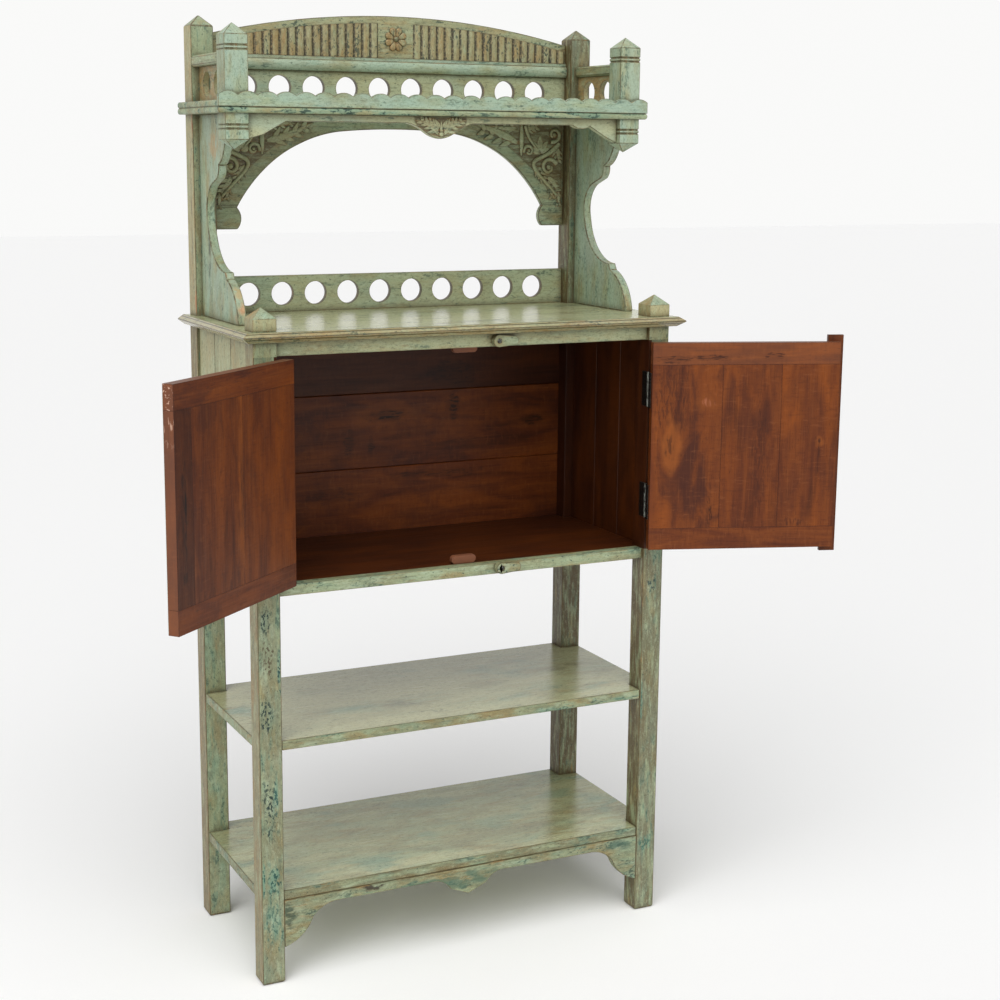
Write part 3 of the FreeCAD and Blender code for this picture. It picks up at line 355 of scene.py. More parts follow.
@dataclass(frozen=True)
class RubbedPaint:
    """Milk paint brushed on softwood, rubbed through and waxed with umber.

    The eye sees chalky sage green that turns to olive and tan along the brush, dark teal specks and
    streaks of the older coat, umber in the hollows that is partly painted shade in creases and where
    pieces meet, umber along the edges, and bare wood on the corners.
    """

    grain: Grain = Grain.ACROSS
    turn: float = 0.0
    specks: float = 0.3
    teal: float = 0.3
    # How much umber lies in the hollows; it is partly painted shade in creases and where pieces meet.
    umber: float = 0.75
    tan: float = 0.5
    glaze: float = 0.0
    # A pale chalky coat; on the counter top, the middle shelf and the carved leaves it is raised as painted
    # light.
    bloom_and_painted_light: float = 0.0
    sea: float = 0.0
    smoke: float = 0.0
    amber: float = 0.0
    lines: float = 0.75
    rough: float = 0.38
    # Millimetres within which nearby pieces darken a face with that umber and painted shade.
    reach: float = 20.0
    grooves: tuple[float, ...] = ()
    punched: Optional[Place] = None
    ribs: Optional[Flat] = None
    marks: tuple[Mark, ...] = ()
    clusters: tuple[Mark, ...] = ()
    name: str = "rubbed_milk_paint"

    def coats(self, p: Pattern, brush: Socket) -> Socket:
        """The paint itself, from the first coat to the glaze.

        Args:
            p: The finish's pattern.
            brush: The noise of the brush strokes.

        Returns:
            The colour so far.
        """
        haze = (75.0, 190.0, 21.0, 4.0, 0.6)
        weave = (4.0, 10.0, 28.0, 5.0, 0.5)
        grit = (1.6, 2.4, 27.0, 2.0)
        return p.lay(
            "#8a8b66",
            ("#9aa884", (50.0, 170.0, 0.0, 3.0), 0.36, 0.62, 1.0),
            ("#a3966f", brush, 0.50, 0.74, 0.30 * self.tan + 0.10),
            ("#957b44", (24.0, 70.0, 7.0, 4.0), 0.47, 0.66, 0.90 * self.tan),
            ("#72a08b", (28.0, 85.0, 9.0, 4.0), 0.52, 0.68, 0.12 + 0.35 * self.teal),
            ("#b4c4a6", (14.0, 46.0, 11.0, 4.0), 0.52, 0.68, 0.45),
            ("#b7ba92", haze, 0.54, 0.38, 0.85 * self.smoke),
            ("#6a6b4e", haze, 0.54, 0.70, 0.75 * self.smoke),
            ("#6f9580", (95.0, 150.0, 25.0, 3.0), 0.52, 0.66, 0.75 * self.smoke),
            ("#5d5b3c", (2.0, 50.0, 5.0, 2.0), 0.54, 0.74, 0.40 * self.lines),
            ("#4f4a2c", (4.5, 120.0, 8.0, 2.0), 0.60, 0.72, 0.60 * self.lines),
            ("#a0743f", (10.0, 55.0, 12.0, 4.0), 0.62, 0.70, 0.7 * self.tan * self.lines),
            ("#5a4a2b", (9.0, 60.0, 13.0, 3.0), 0.25, 0.60, self.glaze),
            ("#9ebaaa", (34.0, 90.0, 19.0, 3.0), 0.30, 0.60, self.sea),
            ("#b9ba90", (90.0, 240.0, 15.0), 0.20, 0.60, self.bloom_and_painted_light),
            ("#aa8450", (9.0, 20.0, 43.0, 3.0), 0.20, 0.60, self.amber),
            ("#50503a", weave, 0.50, 0.72, 0.45), ("#bfcaa9", weave, 0.47, 0.26, 0.32),
            ("#4b4a33", grit, 0.52, 0.78, 0.45), ("#c2cbac", grit, 0.46, 0.22, 0.28))

    def wear(self, p: Pattern, colour: Socket) -> Socket:
        """Umber in the hollows, partly painted shade in creases and where pieces meet; edges rubbed bare or
        darkened by wax; and dark grooves.

        Args:
            p: The finish's pattern.
            colour: The colour below.

        Returns:
            The colour so far.
        """
        # Umber wax in the hollows, partly painted shade: the first coat darkens faces wherever other pieces
        # come within the reach, the second darkens creases within one piece.
        colour = p.lay(colour, ("#4a3a1c", p.hollow(self.reach, False), 0.10, 0.62, self.umber),
                       ("#35280f", p.hollow(4.5), 0.10, 0.60, self.umber))
        edge = p.edge(4.0)
        chips = p.noise(5.0, 30.0, 17.0, 3.0)
        bare = p.times(p.window(edge, 0.0, 0.10), p.window(chips, 0.44, 0.62), 0.75)
        waxed = p.times(p.window(edge, 0.01, 0.14), p.window(chips, 0.62, 0.44), 0.72)
        colour = p.over(p.over(colour, "#96713f", bare), "#453718", waxed)
        for level in self.grooves:
            colour = p.over(colour, "#3a2f17", p.times(p.groove(level, 1.3), 0.8))
        return colour

    def carved(self, p: Pattern, colour: Socket) -> Socket:
        """Punched holes round a rosette and dark lines between reeds, where the piece has them.

        Args:
            p: The finish's pattern.
            colour: The colour below.

        Returns:
            The colour so far.
        """
        if self.punched:
            holes = p.add("TexVoronoi", {"Vector": p.at(7.0, 7.0), "Scale": 1.0})
            round_it = p.spot(self.punched, (38.0, 38.0, 36.0), 0.1, 91.0)
            colour = p.over(colour, "#2c3a26", p.times(p.window(holes, 0.48, 0.38), round_it, 0.85))
        if self.ribs:
            start, pitch = self.ribs
            wave = p.coordinate(0)
            for way, value in (("ABSOLUTE", 0.0), ("SUBTRACT", start * MM), ("PINGPONG", pitch * MM / 2)):
                wave = p.add("Math", {0: wave, 1: value}, operation=way)
            torn = p.math("ADD", p.window((4.0, 6.0, 47.0), 0.40, 0.56), 0.35)
            rim = p.times(p.window(wave, 0.26 * pitch * MM, 0.07 * pitch * MM), torn, 0.95)
            colour = p.over(colour, "#2f2812", rim)
        return colour

    def placed(self, p: Pattern, colour: Socket) -> Socket:
        """The marks and clusters of flecks that have a place of their own.

        Args:
            p: The finish's pattern.
            colour: The colour below.

        Returns:
            The colour so far.
        """
        torn = p.window((9.0, 30.0, 53.0, 4.0), 0.36, 0.50)
        for number, mark in enumerate(self.marks):
            seen = p.spot(mark.place, mark.reach, mark.wobble, 41.0 + number)
            colour = p.over(colour, mark.colour, p.times(seen, torn, mark.amount))
        flakes = p.window((5.0, 8.0, 57.0, 2.0), 0.53, 0.55)
        for number, mark in enumerate(self.clusters):
            seen = p.spot(mark.place, mark.reach, mark.wobble, 71.0 + number)
            colour = p.over(colour, "#5f8f7c", p.times(seen, torn, 0.6 * mark.halo))
            colour = p.over(colour, mark.colour, p.times(seen, flakes, mark.amount))
        return colour

    def material(self) -> bpy.types.Material:
        """Build the material.

        Returns:
            The material.
        """
        p = Pattern(f"{self.name}_{self.grain.value}", self.grain, self.turn)
        brush = p.noise(3.4, 110.0, 3.0, 3.0)
        colour = self.wear(p, self.coats(p, brush))
        near = 0.59 - 0.10 * self.specks
        wide = p.window((46.0, 260.0, 22.0, 2.0), 0.38, 0.54)
        flock = p.times(p.window((17.0, 60.0, 23.0, 4.0), near, near + 0.06), wide)
        speck = p.window((4.6, 7.6, 29.0, 2.0), 0.52, 0.545)
        few = p.window((4.0, 7.0, 33.0, 1.0), 0.69, 0.72)
        dots = p.times(p.math("ADD", p.times(speck, flock), few), 0.35 + 0.55 * self.specks)
        streak = p.window((6.0, 46.0, 31.0, 4.0), 0.60, 0.68, self.teal)
        pores = p.window((1.5, 32.0, 37.0, 2.0), 0.62, 0.74, 0.55 * self.lines)
        for code, amount in (("#5b8a78", p.times(flock, 0.5 * self.teal)),
                             ("#41705f", p.times(streak, wide, 0.75)),
                             ("#14332b", dots), ("#43391f", pores)):
            colour = p.over(colour, code, amount)
        colour = self.placed(p, self.carved(p, colour))
        relief = p.math("ADD", p.math("MULTIPLY", brush, 0.5), p.math("SUBTRACT", 0.5, dots))
        relief = p.math("SUBTRACT", relief, p.math("MULTIPLY", pores, 0.4))
        rough = p.math("ADD", p.math("MULTIPLY", brush, 0.22), self.rough)
        return p.finish(colour, rough, relief, 0.5)


@dataclass(frozen=True)
class RubbedEdge:
    """An eased edge of the painted boards, rubbed through and darkened by wax.

    The eye sees a thin umber line that opens to bare orange softwood and closes under leftover paint.
    """

    grain: Grain
    left: float = 0.5
    name: str = "rubbed_edge"

    def material(self) -> bpy.types.Material:
        """Build the material.

        Returns:
            The material.
        """
        p = Pattern(f"{self.name}_{self.grain.value}", self.grain)
        colour = p.lay(p.over("#3f361d", "#645d3b", p.noise(4.0, 24.0, 3.0, 3.0)),
                       ("#a67c48", (6.0, 34.0, 9.0, 3.0), 0.56, 0.66, 0.45),
                       ("#8f9a7b", (7.0, 40.0, 13.0, 3.0), 0.46, 0.58, self.left))
        return p.finish(colour, 0.45, p.noise(2.0, 12.0, 17.0), 0.3)


@dataclass(frozen=True)
class StainedWood:
    """Acacia boards wiped with mahogany stain under satin lacquer.

    The eye sees broad red-brown clouds with orange sapwood, a soft dark figure, knots with a bright rim
    and open pores under a soft gloss.
    """

    grain: Grain = Grain.ACROSS
    turn: float = 0.0
    # How much darker the stain is; on the pieces inside the case it is partly painted shade where little
    # light reaches.
    depth: float = 0.0
    orange: float = 0.5
    plum: float = 0.5
    shift: float = 0.0
    fade: float = 0.0
    worn: float = 0.0
    seam: float = 0.75
    # Painted shade: near black where other pieces close in within 150 mm, as in the deep corners of the case.
    corner_shade: float = 0.0
    marks: tuple[Mark, ...] = ()
    name: str = "stained_acacia"

    def material(self) -> bpy.types.Material:
        """Build the material.

        Returns:
            The material.
        """
        p = Pattern(f"{self.name}_{self.grain.value}", self.grain, self.turn)
        shift = self.shift
        figure = p.noise(42.0, 300.0, shift, 5.0, 1.4)
        colour = p.add("ValToRGB", {"Fac": figure}, stops=(
            (0.30, "#49210c"), (0.44, "#5e2c11"), (0.56, "#6b3513"), (0.70, "#753c16"), (0.85, "#82471c")))
        lines = p.noise(3.0, 110.0, shift + 9.0, 3.0, 0.3)
        flecks = (22.0, 5.0, shift + 11.0, 3.0)
        pores = p.window((1.6, 16.0, shift + 13.0, 1.0), 0.62, 0.74, 0.45)
        colour = p.lay(
            colour, ("#8a4612", (60.0, 260.0, shift + 3.0, 3.0, 0.4), 0.42, 0.72, self.orange),
            ("#401d12", (55.0, 130.0, shift + 5.0, 4.0, 0.8), 0.44, 0.68, self.plum),
            ("#3c1a0b", lines, 0.52, 0.80, 0.45), ("#8f5428", lines, 0.44, 0.26, 0.22),
            ("#401c0c", flecks, 0.52, 0.74, 0.30), ("#915630", flecks, 0.44, 0.24, 0.22))
        for code, amount in (("#2c1208", pores), ("#1c0b05", self.depth), ("#96674f", self.fade)):
            colour = p.over(colour, code, amount)
        veil = p.window((4.0, 24.0, shift + 67.0, 4.0, 0.8), 0.42, 0.60)
        for number, mark in enumerate(self.marks):
            if mark.halo:
                rim = p.spot(mark.place, [r * 2.2 for r in mark.reach], 0.6, 51.0 + number)
                colour = p.over(colour, "#9a5520", p.times(rim, mark.halo))
            seen = p.spot(mark.place, mark.reach, mark.wobble, 61.0 + number)
            torn = p.math("MAXIMUM", veil, 1.0 - mark.wobble)
            colour = p.over(colour, mark.colour, p.times(seen, torn, mark.amount))
        # The first coat darkens the seams between boards; the second is painted shade, near black deep in the
        # case's corners.
        colour = p.lay(colour, ("#240f08", p.hollow(3.0), 0.15, 0.7, min(0.7, self.seam)),
                       ("#0e0502", p.hollow(150.0, False), 0.45, 0.95, self.corner_shade))
        colour = p.over(colour, "#280f08", p.times(p.window(p.edge(2.2), 0.01, 0.12), self.seam))
        if self.worn:
            chips = p.window((5.0, 17.0, 71.0, 4.0), 0.57, 0.64, self.worn)
            high_up = p.window(p.coordinate(2), WORN_FROM, WORN_FULL)
            colour = p.over(colour, "#c09b86", p.times(chips, high_up))
        relief = p.math("SUBTRACT", lines, pores)
        rough = p.math("ADD", p.math("MULTIPLY", lines, 0.25), 0.30)
        return p.finish(colour, rough, relief, 0.25, Specular_IOR_Level=0.22)


@dataclass(frozen=True)
class BlackIron:
    """Forged hinge iron, blackened and rubbed bright on the knuckles, which is partly painted highlight.

    The eye sees near-black metal with a dull sheen, brown rust clouds, and pale worn edges and patches that
    are partly painted highlights.
    """

    # How much pale metal shows: rubbed iron that is partly painted highlight on knuckles and screw heads.
    rub: float = 0.0
    name: str = "blackened_iron"

    def material(self) -> bpy.types.Material:
        """Build the material.

        Returns:
            The material.
        """
        p = Pattern(self.name, Grain.UP)
        # Rust clouds, then pale patches and edges that are worn metal and partly painted highlight.
        colour = p.lay("#1d1b19", ("#3a2a1e", (4.0, 7.0, 0.0, 3.0), 0.5, 0.7, 0.6),
                       ("#8d9088", (2.5, 9.0, 7.0, 3.0), 0.62, 0.34, self.rub),
                       ("#6d6a66", p.edge(1.2), 0.02, 0.25, 0.7))
        rough = p.window((3.0, 5.0, 5.0, 2.0), 0.3, 0.7, 0.5)
        return p.finish(colour, p.math("ADD", rough, 0.3), p.noise(1.2, 1.6, 3.0, 2.0), 0.08, Metallic=0.85)


def put(name: str, data: bpy.types.ID) -> Piece:
    """Put a mesh, curve, lamp or camera into the scene as a new object.

    Args:
        name: The object's name.
        data: What it shows.

    Returns:
        The object.
    """
    piece = bpy.data.objects.new(name, data)
    bpy.context.scene.collection.objects.link(piece)
    return piece


def select_only(piece: Piece) -> None:
    """Deselect everything, then select one piece and make it active.

    Args:
        piece: The piece to select.
    """
    for other in bpy.context.selected_objects:
        other.select_set(False)
    piece.select_set(True)
    bpy.context.view_layer.objects.active = piece


def edit(piece: Piece, step: Callable[[], None]) -> None:
    """Run a step on a piece in edit mode with all of it selected.

    Args:
        piece: The piece to edit.
        step: What to do in edit mode.
    """
    select_only(piece)
    bpy.ops.object.mode_set(mode="EDIT")
    bpy.ops.mesh.select_all(action="SELECT")
    step()
    bpy.ops.object.mode_set(mode="OBJECT")


def modify(piece: Piece, kind: str, **settings: object) -> None:
    """Add a modifier to a piece and apply it.

    Args:
        piece: The piece to change.
        kind: The modifier's type.
        settings: The modifier's own properties.
    """
    select_only(piece)
    change = piece.modifiers.new(kind.lower(), kind)
    for name, value in settings.items():
        setattr(change, name, value)
    bpy.ops.object.modifier_apply(modifier=change.name)


def model_form(name: str, pointed: bool) -> bpy.types.Mesh:
    """Model one carved form, a unit long from the origin along X and a unit wide.

    Args:
        name: The form's name.
        pointed: Whether it is a leaf blade with a sunk vein, or a plain dome.

    Returns:
        Its mesh.
    """
    bpy.ops.mesh.primitive_uv_sphere_add(segments=12, ring_count=8, radius=0.5, location=(0.5, 0.0, 0.0),
                                         rotation=(0.0, math.pi / 2, 0.0))
    form = bpy.context.active_object
    form.name = name
    bpy.ops.object.transform_apply(location=True, rotation=True, scale=True)
    if pointed:
        pick(form, lambda place: place.y < -0.1 and abs(place.z) < 0.02)
        move_picked(VEIN)
        modify(form, "SIMPLE_DEFORM", deform_method="TAPER", deform_axis="X", factor=-TAPER)
    mesh = form.data
    bpy.data.objects.remove(form)
    return mesh


def move_picked(back: float) -> None:
    """Move the picked vertices back along Y.

    Args:
        back: The distance.
    """
    bpy.ops.object.mode_set(mode="EDIT")
    bpy.ops.transform.translate(value=(0.0, back, 0.0))
    bpy.ops.object.mode_set(mode="OBJECT")


def pick(piece: Piece, test: Callable[[Vector], bool]) -> None:
    """Select the vertices of a piece that pass a test of their place, and nothing else.

    Args:
        piece: The piece to select on.
        test: Whether a vertex at a place is picked.
    """
    select_only(piece)
    mesh = piece.data
    for group in (mesh.polygons, mesh.edges):
        group.foreach_set("select", [False] * len(group))
    mesh.vertices.foreach_set("select", [test(v.co) for v in mesh.vertices])
    bpy.context.tool_settings.mesh_select_mode = (True, False, False)


def bulge(bow: float, share: float) -> float:
    """How far a bowed line lies out of line at a share of its length."""
    return bow * 4.0 * share * (1.0 - share)


@dataclass
class Carving:
    """Leaves, stems, curls and beads in relief on a flat ground that looks along -Y.

    Places are measured in millimetres across and down from a corner of the ground.
    """

    corner: Place
    hand: float = 1.0
    rise: float = 3.2
    middle_width: float = 0.62
    narrowing: float = 0.30
    lobe_width: float = 0.44
    lobe_rise: float = 0.85
    lobe_lean: float = 1.15
    first_lobe: float = 0.16
    lobe_run: float = 0.58
    forms: list[Piece] = field(default_factory=list, init=False)
    shapes: dict[bool, bpy.types.Mesh] = field(default_factory=dict, init=False)

    def at(self, across: float, down: float) -> Vector:
        """A place on the ground, in metres."""
        x, y, z = self.corner
        return Vector((x + self.hand * across, y, z - down)) * MM

    def blade(self, base: Flat, tip: Flat, width: float, bow: float = 0.0, pointed: bool = True,
              rise: float = 0.0) -> None:
        """Lay one form from its base to its tip.

        Args:
            base: Where it starts.
            tip: Where it ends.
            width: Its width.
            bow: How far its middle swings out of line.
            pointed: Whether it is a blade or a dome.
            rise: Its height over the ground, or zero for the carving's own.
        """
        if pointed not in self.shapes:
            self.shapes[pointed] = model_form("blade" if pointed else "dome", pointed)
        start, end = self.at(*base), self.at(*tip)
        along = end - start
        aside = Vector((-along.z, 0.0, along.x)).normalized()
        mesh = self.shapes[pointed].copy()
        for vertex in mesh.vertices:
            x, y, z = vertex.co
            vertex.co = (start + along * x + aside * (z * width + bulge(bow, x)) * MM
                         + Vector((0.0, y * 2.0 * (rise or self.rise) * MM, 0.0)))
        self.forms.append(put("carved_form", mesh))

    def leaf(self, base: Flat, tip: Flat, width: float, bow: float = 0.0, lobes: int = 3) -> None:
        """A leaf with a middle blade and pairs of smaller lobes that lean to its tip.

        Args:
            base: Where it starts.
            tip: Where it ends.
            width: Its width.
            bow: How far its middle swings out of line.
            lobes: How many pairs of lobes it has.
        """
        self.blade(base, tip, width * self.middle_width, bow)
        start, end = Vector(base), Vector(tip)
        along = end - start
        aside = Vector((-along.y, along.x)).normalized()
        for number in range(lobes):
            share = self.first_lobe + self.lobe_run * number / max(1, lobes - 1)
            root = start + along * share + aside * -bulge(bow, share)
            reach = width * (self.middle_width - self.narrowing * share)
            for side in (-1.0, 1.0):
                lobe = root + aside * (side * reach) + along.normalized() * (reach * self.lobe_lean)
                self.blade(tuple(root), tuple(lobe), width * self.lobe_width, rise=self.rise * self.lobe_rise)

    def bead(self, centre: Flat, radius: float, rise: float = 0.0) -> None:
        """A round dome."""
        across, down = centre
        self.blade((across - radius, down), (across + radius, down), radius * 2.0, pointed=False, rise=rise)

    def stem(self, points: Sequence[Flat], width: float, thin: float = 0.5) -> None:
        """A rounded stem along a smooth line, which gets thinner to its end.

        Args:
            points: The line's places.
            width: Its width where it starts.
            thin: The share of the width that is left at its end.
        """
        curve = bpy.data.curves.new("stem", "CURVE")
        curve.dimensions = "3D"
        curve.bevel_depth = width / 2 * MM
        curve.bevel_resolution = 2
        curve.resolution_u = 4
        curve.use_fill_caps = True
        line = curve.splines.new("NURBS")
        line.points.add(len(points) - 1)
        for number, (point, place) in enumerate(zip(line.points, points)):
            point.co = (*self.at(*place), 1.0)
            point.radius = 1.0 - (1.0 - thin) * number / (len(points) - 1)
        line.order_u = 3
        line.use_endpoint_u = True
        select_only(put("stem", curve))
        bpy.ops.object.convert(target="MESH")
        self.forms.append(bpy.context.active_object)

    def curl(self, centre: Flat, radius: float, width: float, start: float, turns: float) -> None:
        """A scroll that winds in to its centre and ends in a bead.

        Args:
            centre: Its middle.
            radius: Its outer radius.
            width: The width of its stem.
            start: The angle where it starts, in degrees.
            turns: How often it winds round, below zero for the other way.
        """
        steps = max(6, round(abs(turns) * 9))
        points = []
        for number in range(steps + 1):
            share = number / steps
            angle = math.radians(start) + share * turns * math.tau
            reach = radius * (1.0 - 0.68 * share)
            points.append((centre[0] + reach * math.cos(angle), centre[1] + reach * math.sin(angle)))
        self.stem(points, width, 0.7)
        self.bead(centre, radius * 0.30)

    def join(self, ground: Piece) -> None:
        """Make the ground and all forms one piece.

        Args:
            ground: The piece that the forms stand on.
        """
        select_only(ground)
        for form in self.forms:
            form.select_set(True)
        bpy.ops.object.join()
        edit(ground, lambda: bpy.ops.mesh.normals_make_consistent(inside=False))


@dataclass
class Board:
    """One wooden piece: the node it stands for, its grain, its eased edges, its coats and its carving."""

    node: str
    grain: Grain = Grain.ACROSS
    ease: float = 1.5
    slot: Slot = Slot.PAINT
    segments: int = 2
    cuts: Sequence[tuple[int, float]] = ()
    coats: Sequence[tuple[Test, object]] = ()
    finish: Optional[object] = None
    rubbed: float = 0.0
    sink: float = 0.0
    carving: Optional[Carving] = None
    piece: Optional[Piece] = field(default=None, init=False)

    def copy_node(self) -> Piece:
        """A merged copy of the node's mesh as a new object.

        Returns:
            The object.
        """
        mesh = frame["nodes"][self.node].data.copy()
        mesh.name = self.node + "_dressed"
        mesh.materials.clear()
        for _ in ("faces", "edges"):
            mesh.materials.append(None)
        piece = put(self.node + "_dressed", mesh)
        for name in [a.name for a in mesh.color_attributes]:
            mesh.color_attributes.remove(mesh.color_attributes[name])

        def clean() -> None:
            """Drop the CAD's own normals, double vertices and lines in flat faces."""
            bpy.ops.mesh.customdata_custom_splitnormals_clear()
            bpy.ops.mesh.remove_doubles(threshold=MERGED)
            bpy.ops.mesh.dissolve_limited(angle_limit=FLAT_ANGLE)

        edit(piece, clean)
        return piece

    def lower_ground(self) -> None:
        """Press the front of the piece back, so that the carving stands on it."""
        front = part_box(self.node)[0][1] + SKIN
        pick(self.piece, lambda place: place.y < front)
        move_picked(self.sink * MM)

    def build(self, body: str = "cabinet") -> Piece:
        """Copy, ease, cut, carve and dress the piece.

        Args:
            body: The CAD body that it moves with.

        Returns:
            The finished object.
        """
        self.piece = self.copy_node()
        if self.sink:
            self.lower_ground()
        if self.ease:
            modify(self.piece, "BEVEL", width=self.ease * MM, segments=self.segments, material=1,
                   limit_method="ANGLE", angle_limit=CORNER_ANGLE, use_clamp_overlap=True)
        for axis, place in self.cuts:
            plane = Vector([float(axis == number) for number in range(3)])
            edit(self.piece, lambda: bpy.ops.mesh.bisect(plane_co=plane * place, plane_no=plane))
        if self.carving:
            self.carving.join(self.piece)
        self.smooth()
        self.dress()
        settle(self.piece, body, self.node)
        return self.piece

    def smooth(self) -> None:
        """Shade the eased edges as round and the faces as flat."""
        select_only(self.piece)
        bpy.ops.object.shade_smooth_by_angle(angle=CARVED_ANGLE if self.carving else PLAIN_ANGLE)
        modify(self.piece, "WEIGHTED_NORMAL", weight=60, keep_sharp=True)

    def dress(self) -> None:
        """Give the piece its finish, its edges theirs, and its other coats where their tests say so."""
        mesh = self.piece.data
        edges = {face.index for face in mesh.polygons if face.material_index == 1 and self.rubbed}
        mesh.materials.clear()
        mesh.materials.append(material_of(self.finish))
        for face in mesh.polygons:
            face.material_index = 0
        worn = [(lambda place, normal: False, RubbedEdge(self.grain, self.rubbed))] if edges else []
        for number, (test, coat) in enumerate([*worn, *self.coats], start=1):
            mesh.materials.append(material_of(coat))
            for face in mesh.polygons:
                if test(face.center, face.normal) or (number == 1 and face.index in edges):
                    face.material_index = number


def settle(piece: Piece, body: str, node: str) -> None:
    """Let a finished piece stand for its node and ride on its body.

    Args:
        piece: The finished piece.
        body: The CAD body that it moves with.
        node: The CAD node that it stands for.
    """
    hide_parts(node)
    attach(piece, body)
    log.info("%s: %d faces on %s", piece.name, len(piece.data.polygons), body)


@cache
def material_of(finish: object) -> bpy.types.Material:
    """The material of a finish, made once."""
    return finish.material()


HOLE_WALL = RubbedEdge(Grain.UP, left=0.0, name="waxed_hole")
UMBER_GROUND = RubbedPaint(umber=1.0, glaze=0.95, specks=0.2, teal=0.0, name="umber_ground")


def sunk(depth: float) -> Test:
    """A test for the faces of a carving's ground, which lies at that depth in metres."""
    return lambda place, normal: abs(place.y - depth) < SAME_PLANE and normal.y < -FACING


def pierced(node: str) -> Test:
    """A test for the walls of the holes in an upright board, which all lie inside its outline.

    Args:
        node: The board's node.

    Returns:
        The test.
    """
    low, high = (Vector(corner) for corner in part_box(node))
    thin = min(range(3), key=lambda axis: high[axis] - low[axis])

    def inside(place: Vector, normal: Vector) -> bool:
        """Whether a face is the wall of a hole."""
        rim = min(min(place[n] - low[n], high[n] - place[n]) for n in range(3) if n != thin)
        return abs(normal[thin]) < 0.5 and rim > HOLE_RIM

    return inside


def inward(place: Vector, normal: Vector) -> bool:
    """Whether a face at one side of the cabinet looks to its middle."""
    return normal.x * math.copysign(1.0, place.x) < -FACING


def outward(place: Vector, normal: Vector) -> bool:
    """Whether a face at one side of the cabinet looks away from its middle."""
    return normal.x * math.copysign(1.0, place.x) > FACING


def marks_on(depth: float, thick: float, rows: Sequence[tuple]) -> tuple[Mark, ...]:
    """Marks on an upright face, from rows of X, Z, half width, half height, colour and the rest."""
    return tuple(Mark((x, depth, z), (wide, thick, tall), *rest) for x, z, wide, tall, *rest in rows)


APRON_SMEARS = marks_on(-201.0, 12.0, (
    (-60.0, 146.0, 200.0, 22.0, "#456451", 0.8, 0.7),
    (-216.0, 166.0, 34.0, 7.0, "#33291a", 0.9, 0.95),
    (10.0, 100.0, 60.0, 14.0, "#8d6f45", 0.9, 0.7),
    (-392.0, 140.0, 16.0, 30.0, "#2c3f2e", 0.9, 0.8),
    (360.0, 160.0, 44.0, 12.0, "#3c5a4a", 0.9, 0.7)))
REAR_RUST = (
    Mark((-446.0, 155.0, 1328.0), (9.0, 9.0, 46.0), "#b3713f", 0.5, 0.95),
    Mark((-447.0, 156.0, 1690.0), (9.0, 6.0, 40.0), "#8f5a30", 0.5, 0.9),
    Mark((-450.0, 172.0, 1500.0), (12.0, 3.0, 170.0), "#4b4329", 0.5, 0.8),
    Mark((-450.0, 190.0, 1600.0), (12.0, 4.0, 120.0), "#7d8a68", 0.6, 0.8),
)
POST_FLECKS = {
    "left": marks_on(-201.0, 9.0, (
        (-433.5, 748.0, 13.0, 40.0, "#142e28", 0.8, 1.0, 0.4),
        (-431.5, 675.0, 15.0, 45.0, "#4a3a22", 0.9, 0.9, 0.1),
        (-407.0, 647.0, 6.0, 60.0, "#1a413b", 0.7, 1.0, 0.9),
        (-434.0, 560.0, 15.0, 55.0, "#132c26", 0.9, 1.0, 0.3),
        (-430.3, 370.0, 17.0, 70.0, "#132c26", 0.9, 1.0, 0.15),
        (-417.0, 390.0, 5.0, 55.0, "#1f4d46", 0.6, 0.9, 0.9),
        (-423.0, 215.0, 17.0, 45.0, "#16463c", 0.8, 1.0, 1.0),
        (-445.0, 220.0, 4.0, 52.0, "#155045", 0.5, 1.0, 1.0),
        (-427.6, 130.0, 20.0, 50.0, "#285347", 1.0, 0.7, 0.7))),
    "right": marks_on(-201.0, 9.0, (
        (427.0, 735.7, 12.0, 24.0, "#1d3a38", 0.8, 0.95, 0.3),
        (425.7, 152.1, 18.0, 22.0, "#2a5a4c", 0.9, 0.8, 0.8),
        (406.0, 480.0, 5.0, 60.0, "#2a5a4c", 0.8, 0.8, 0.7))),
}


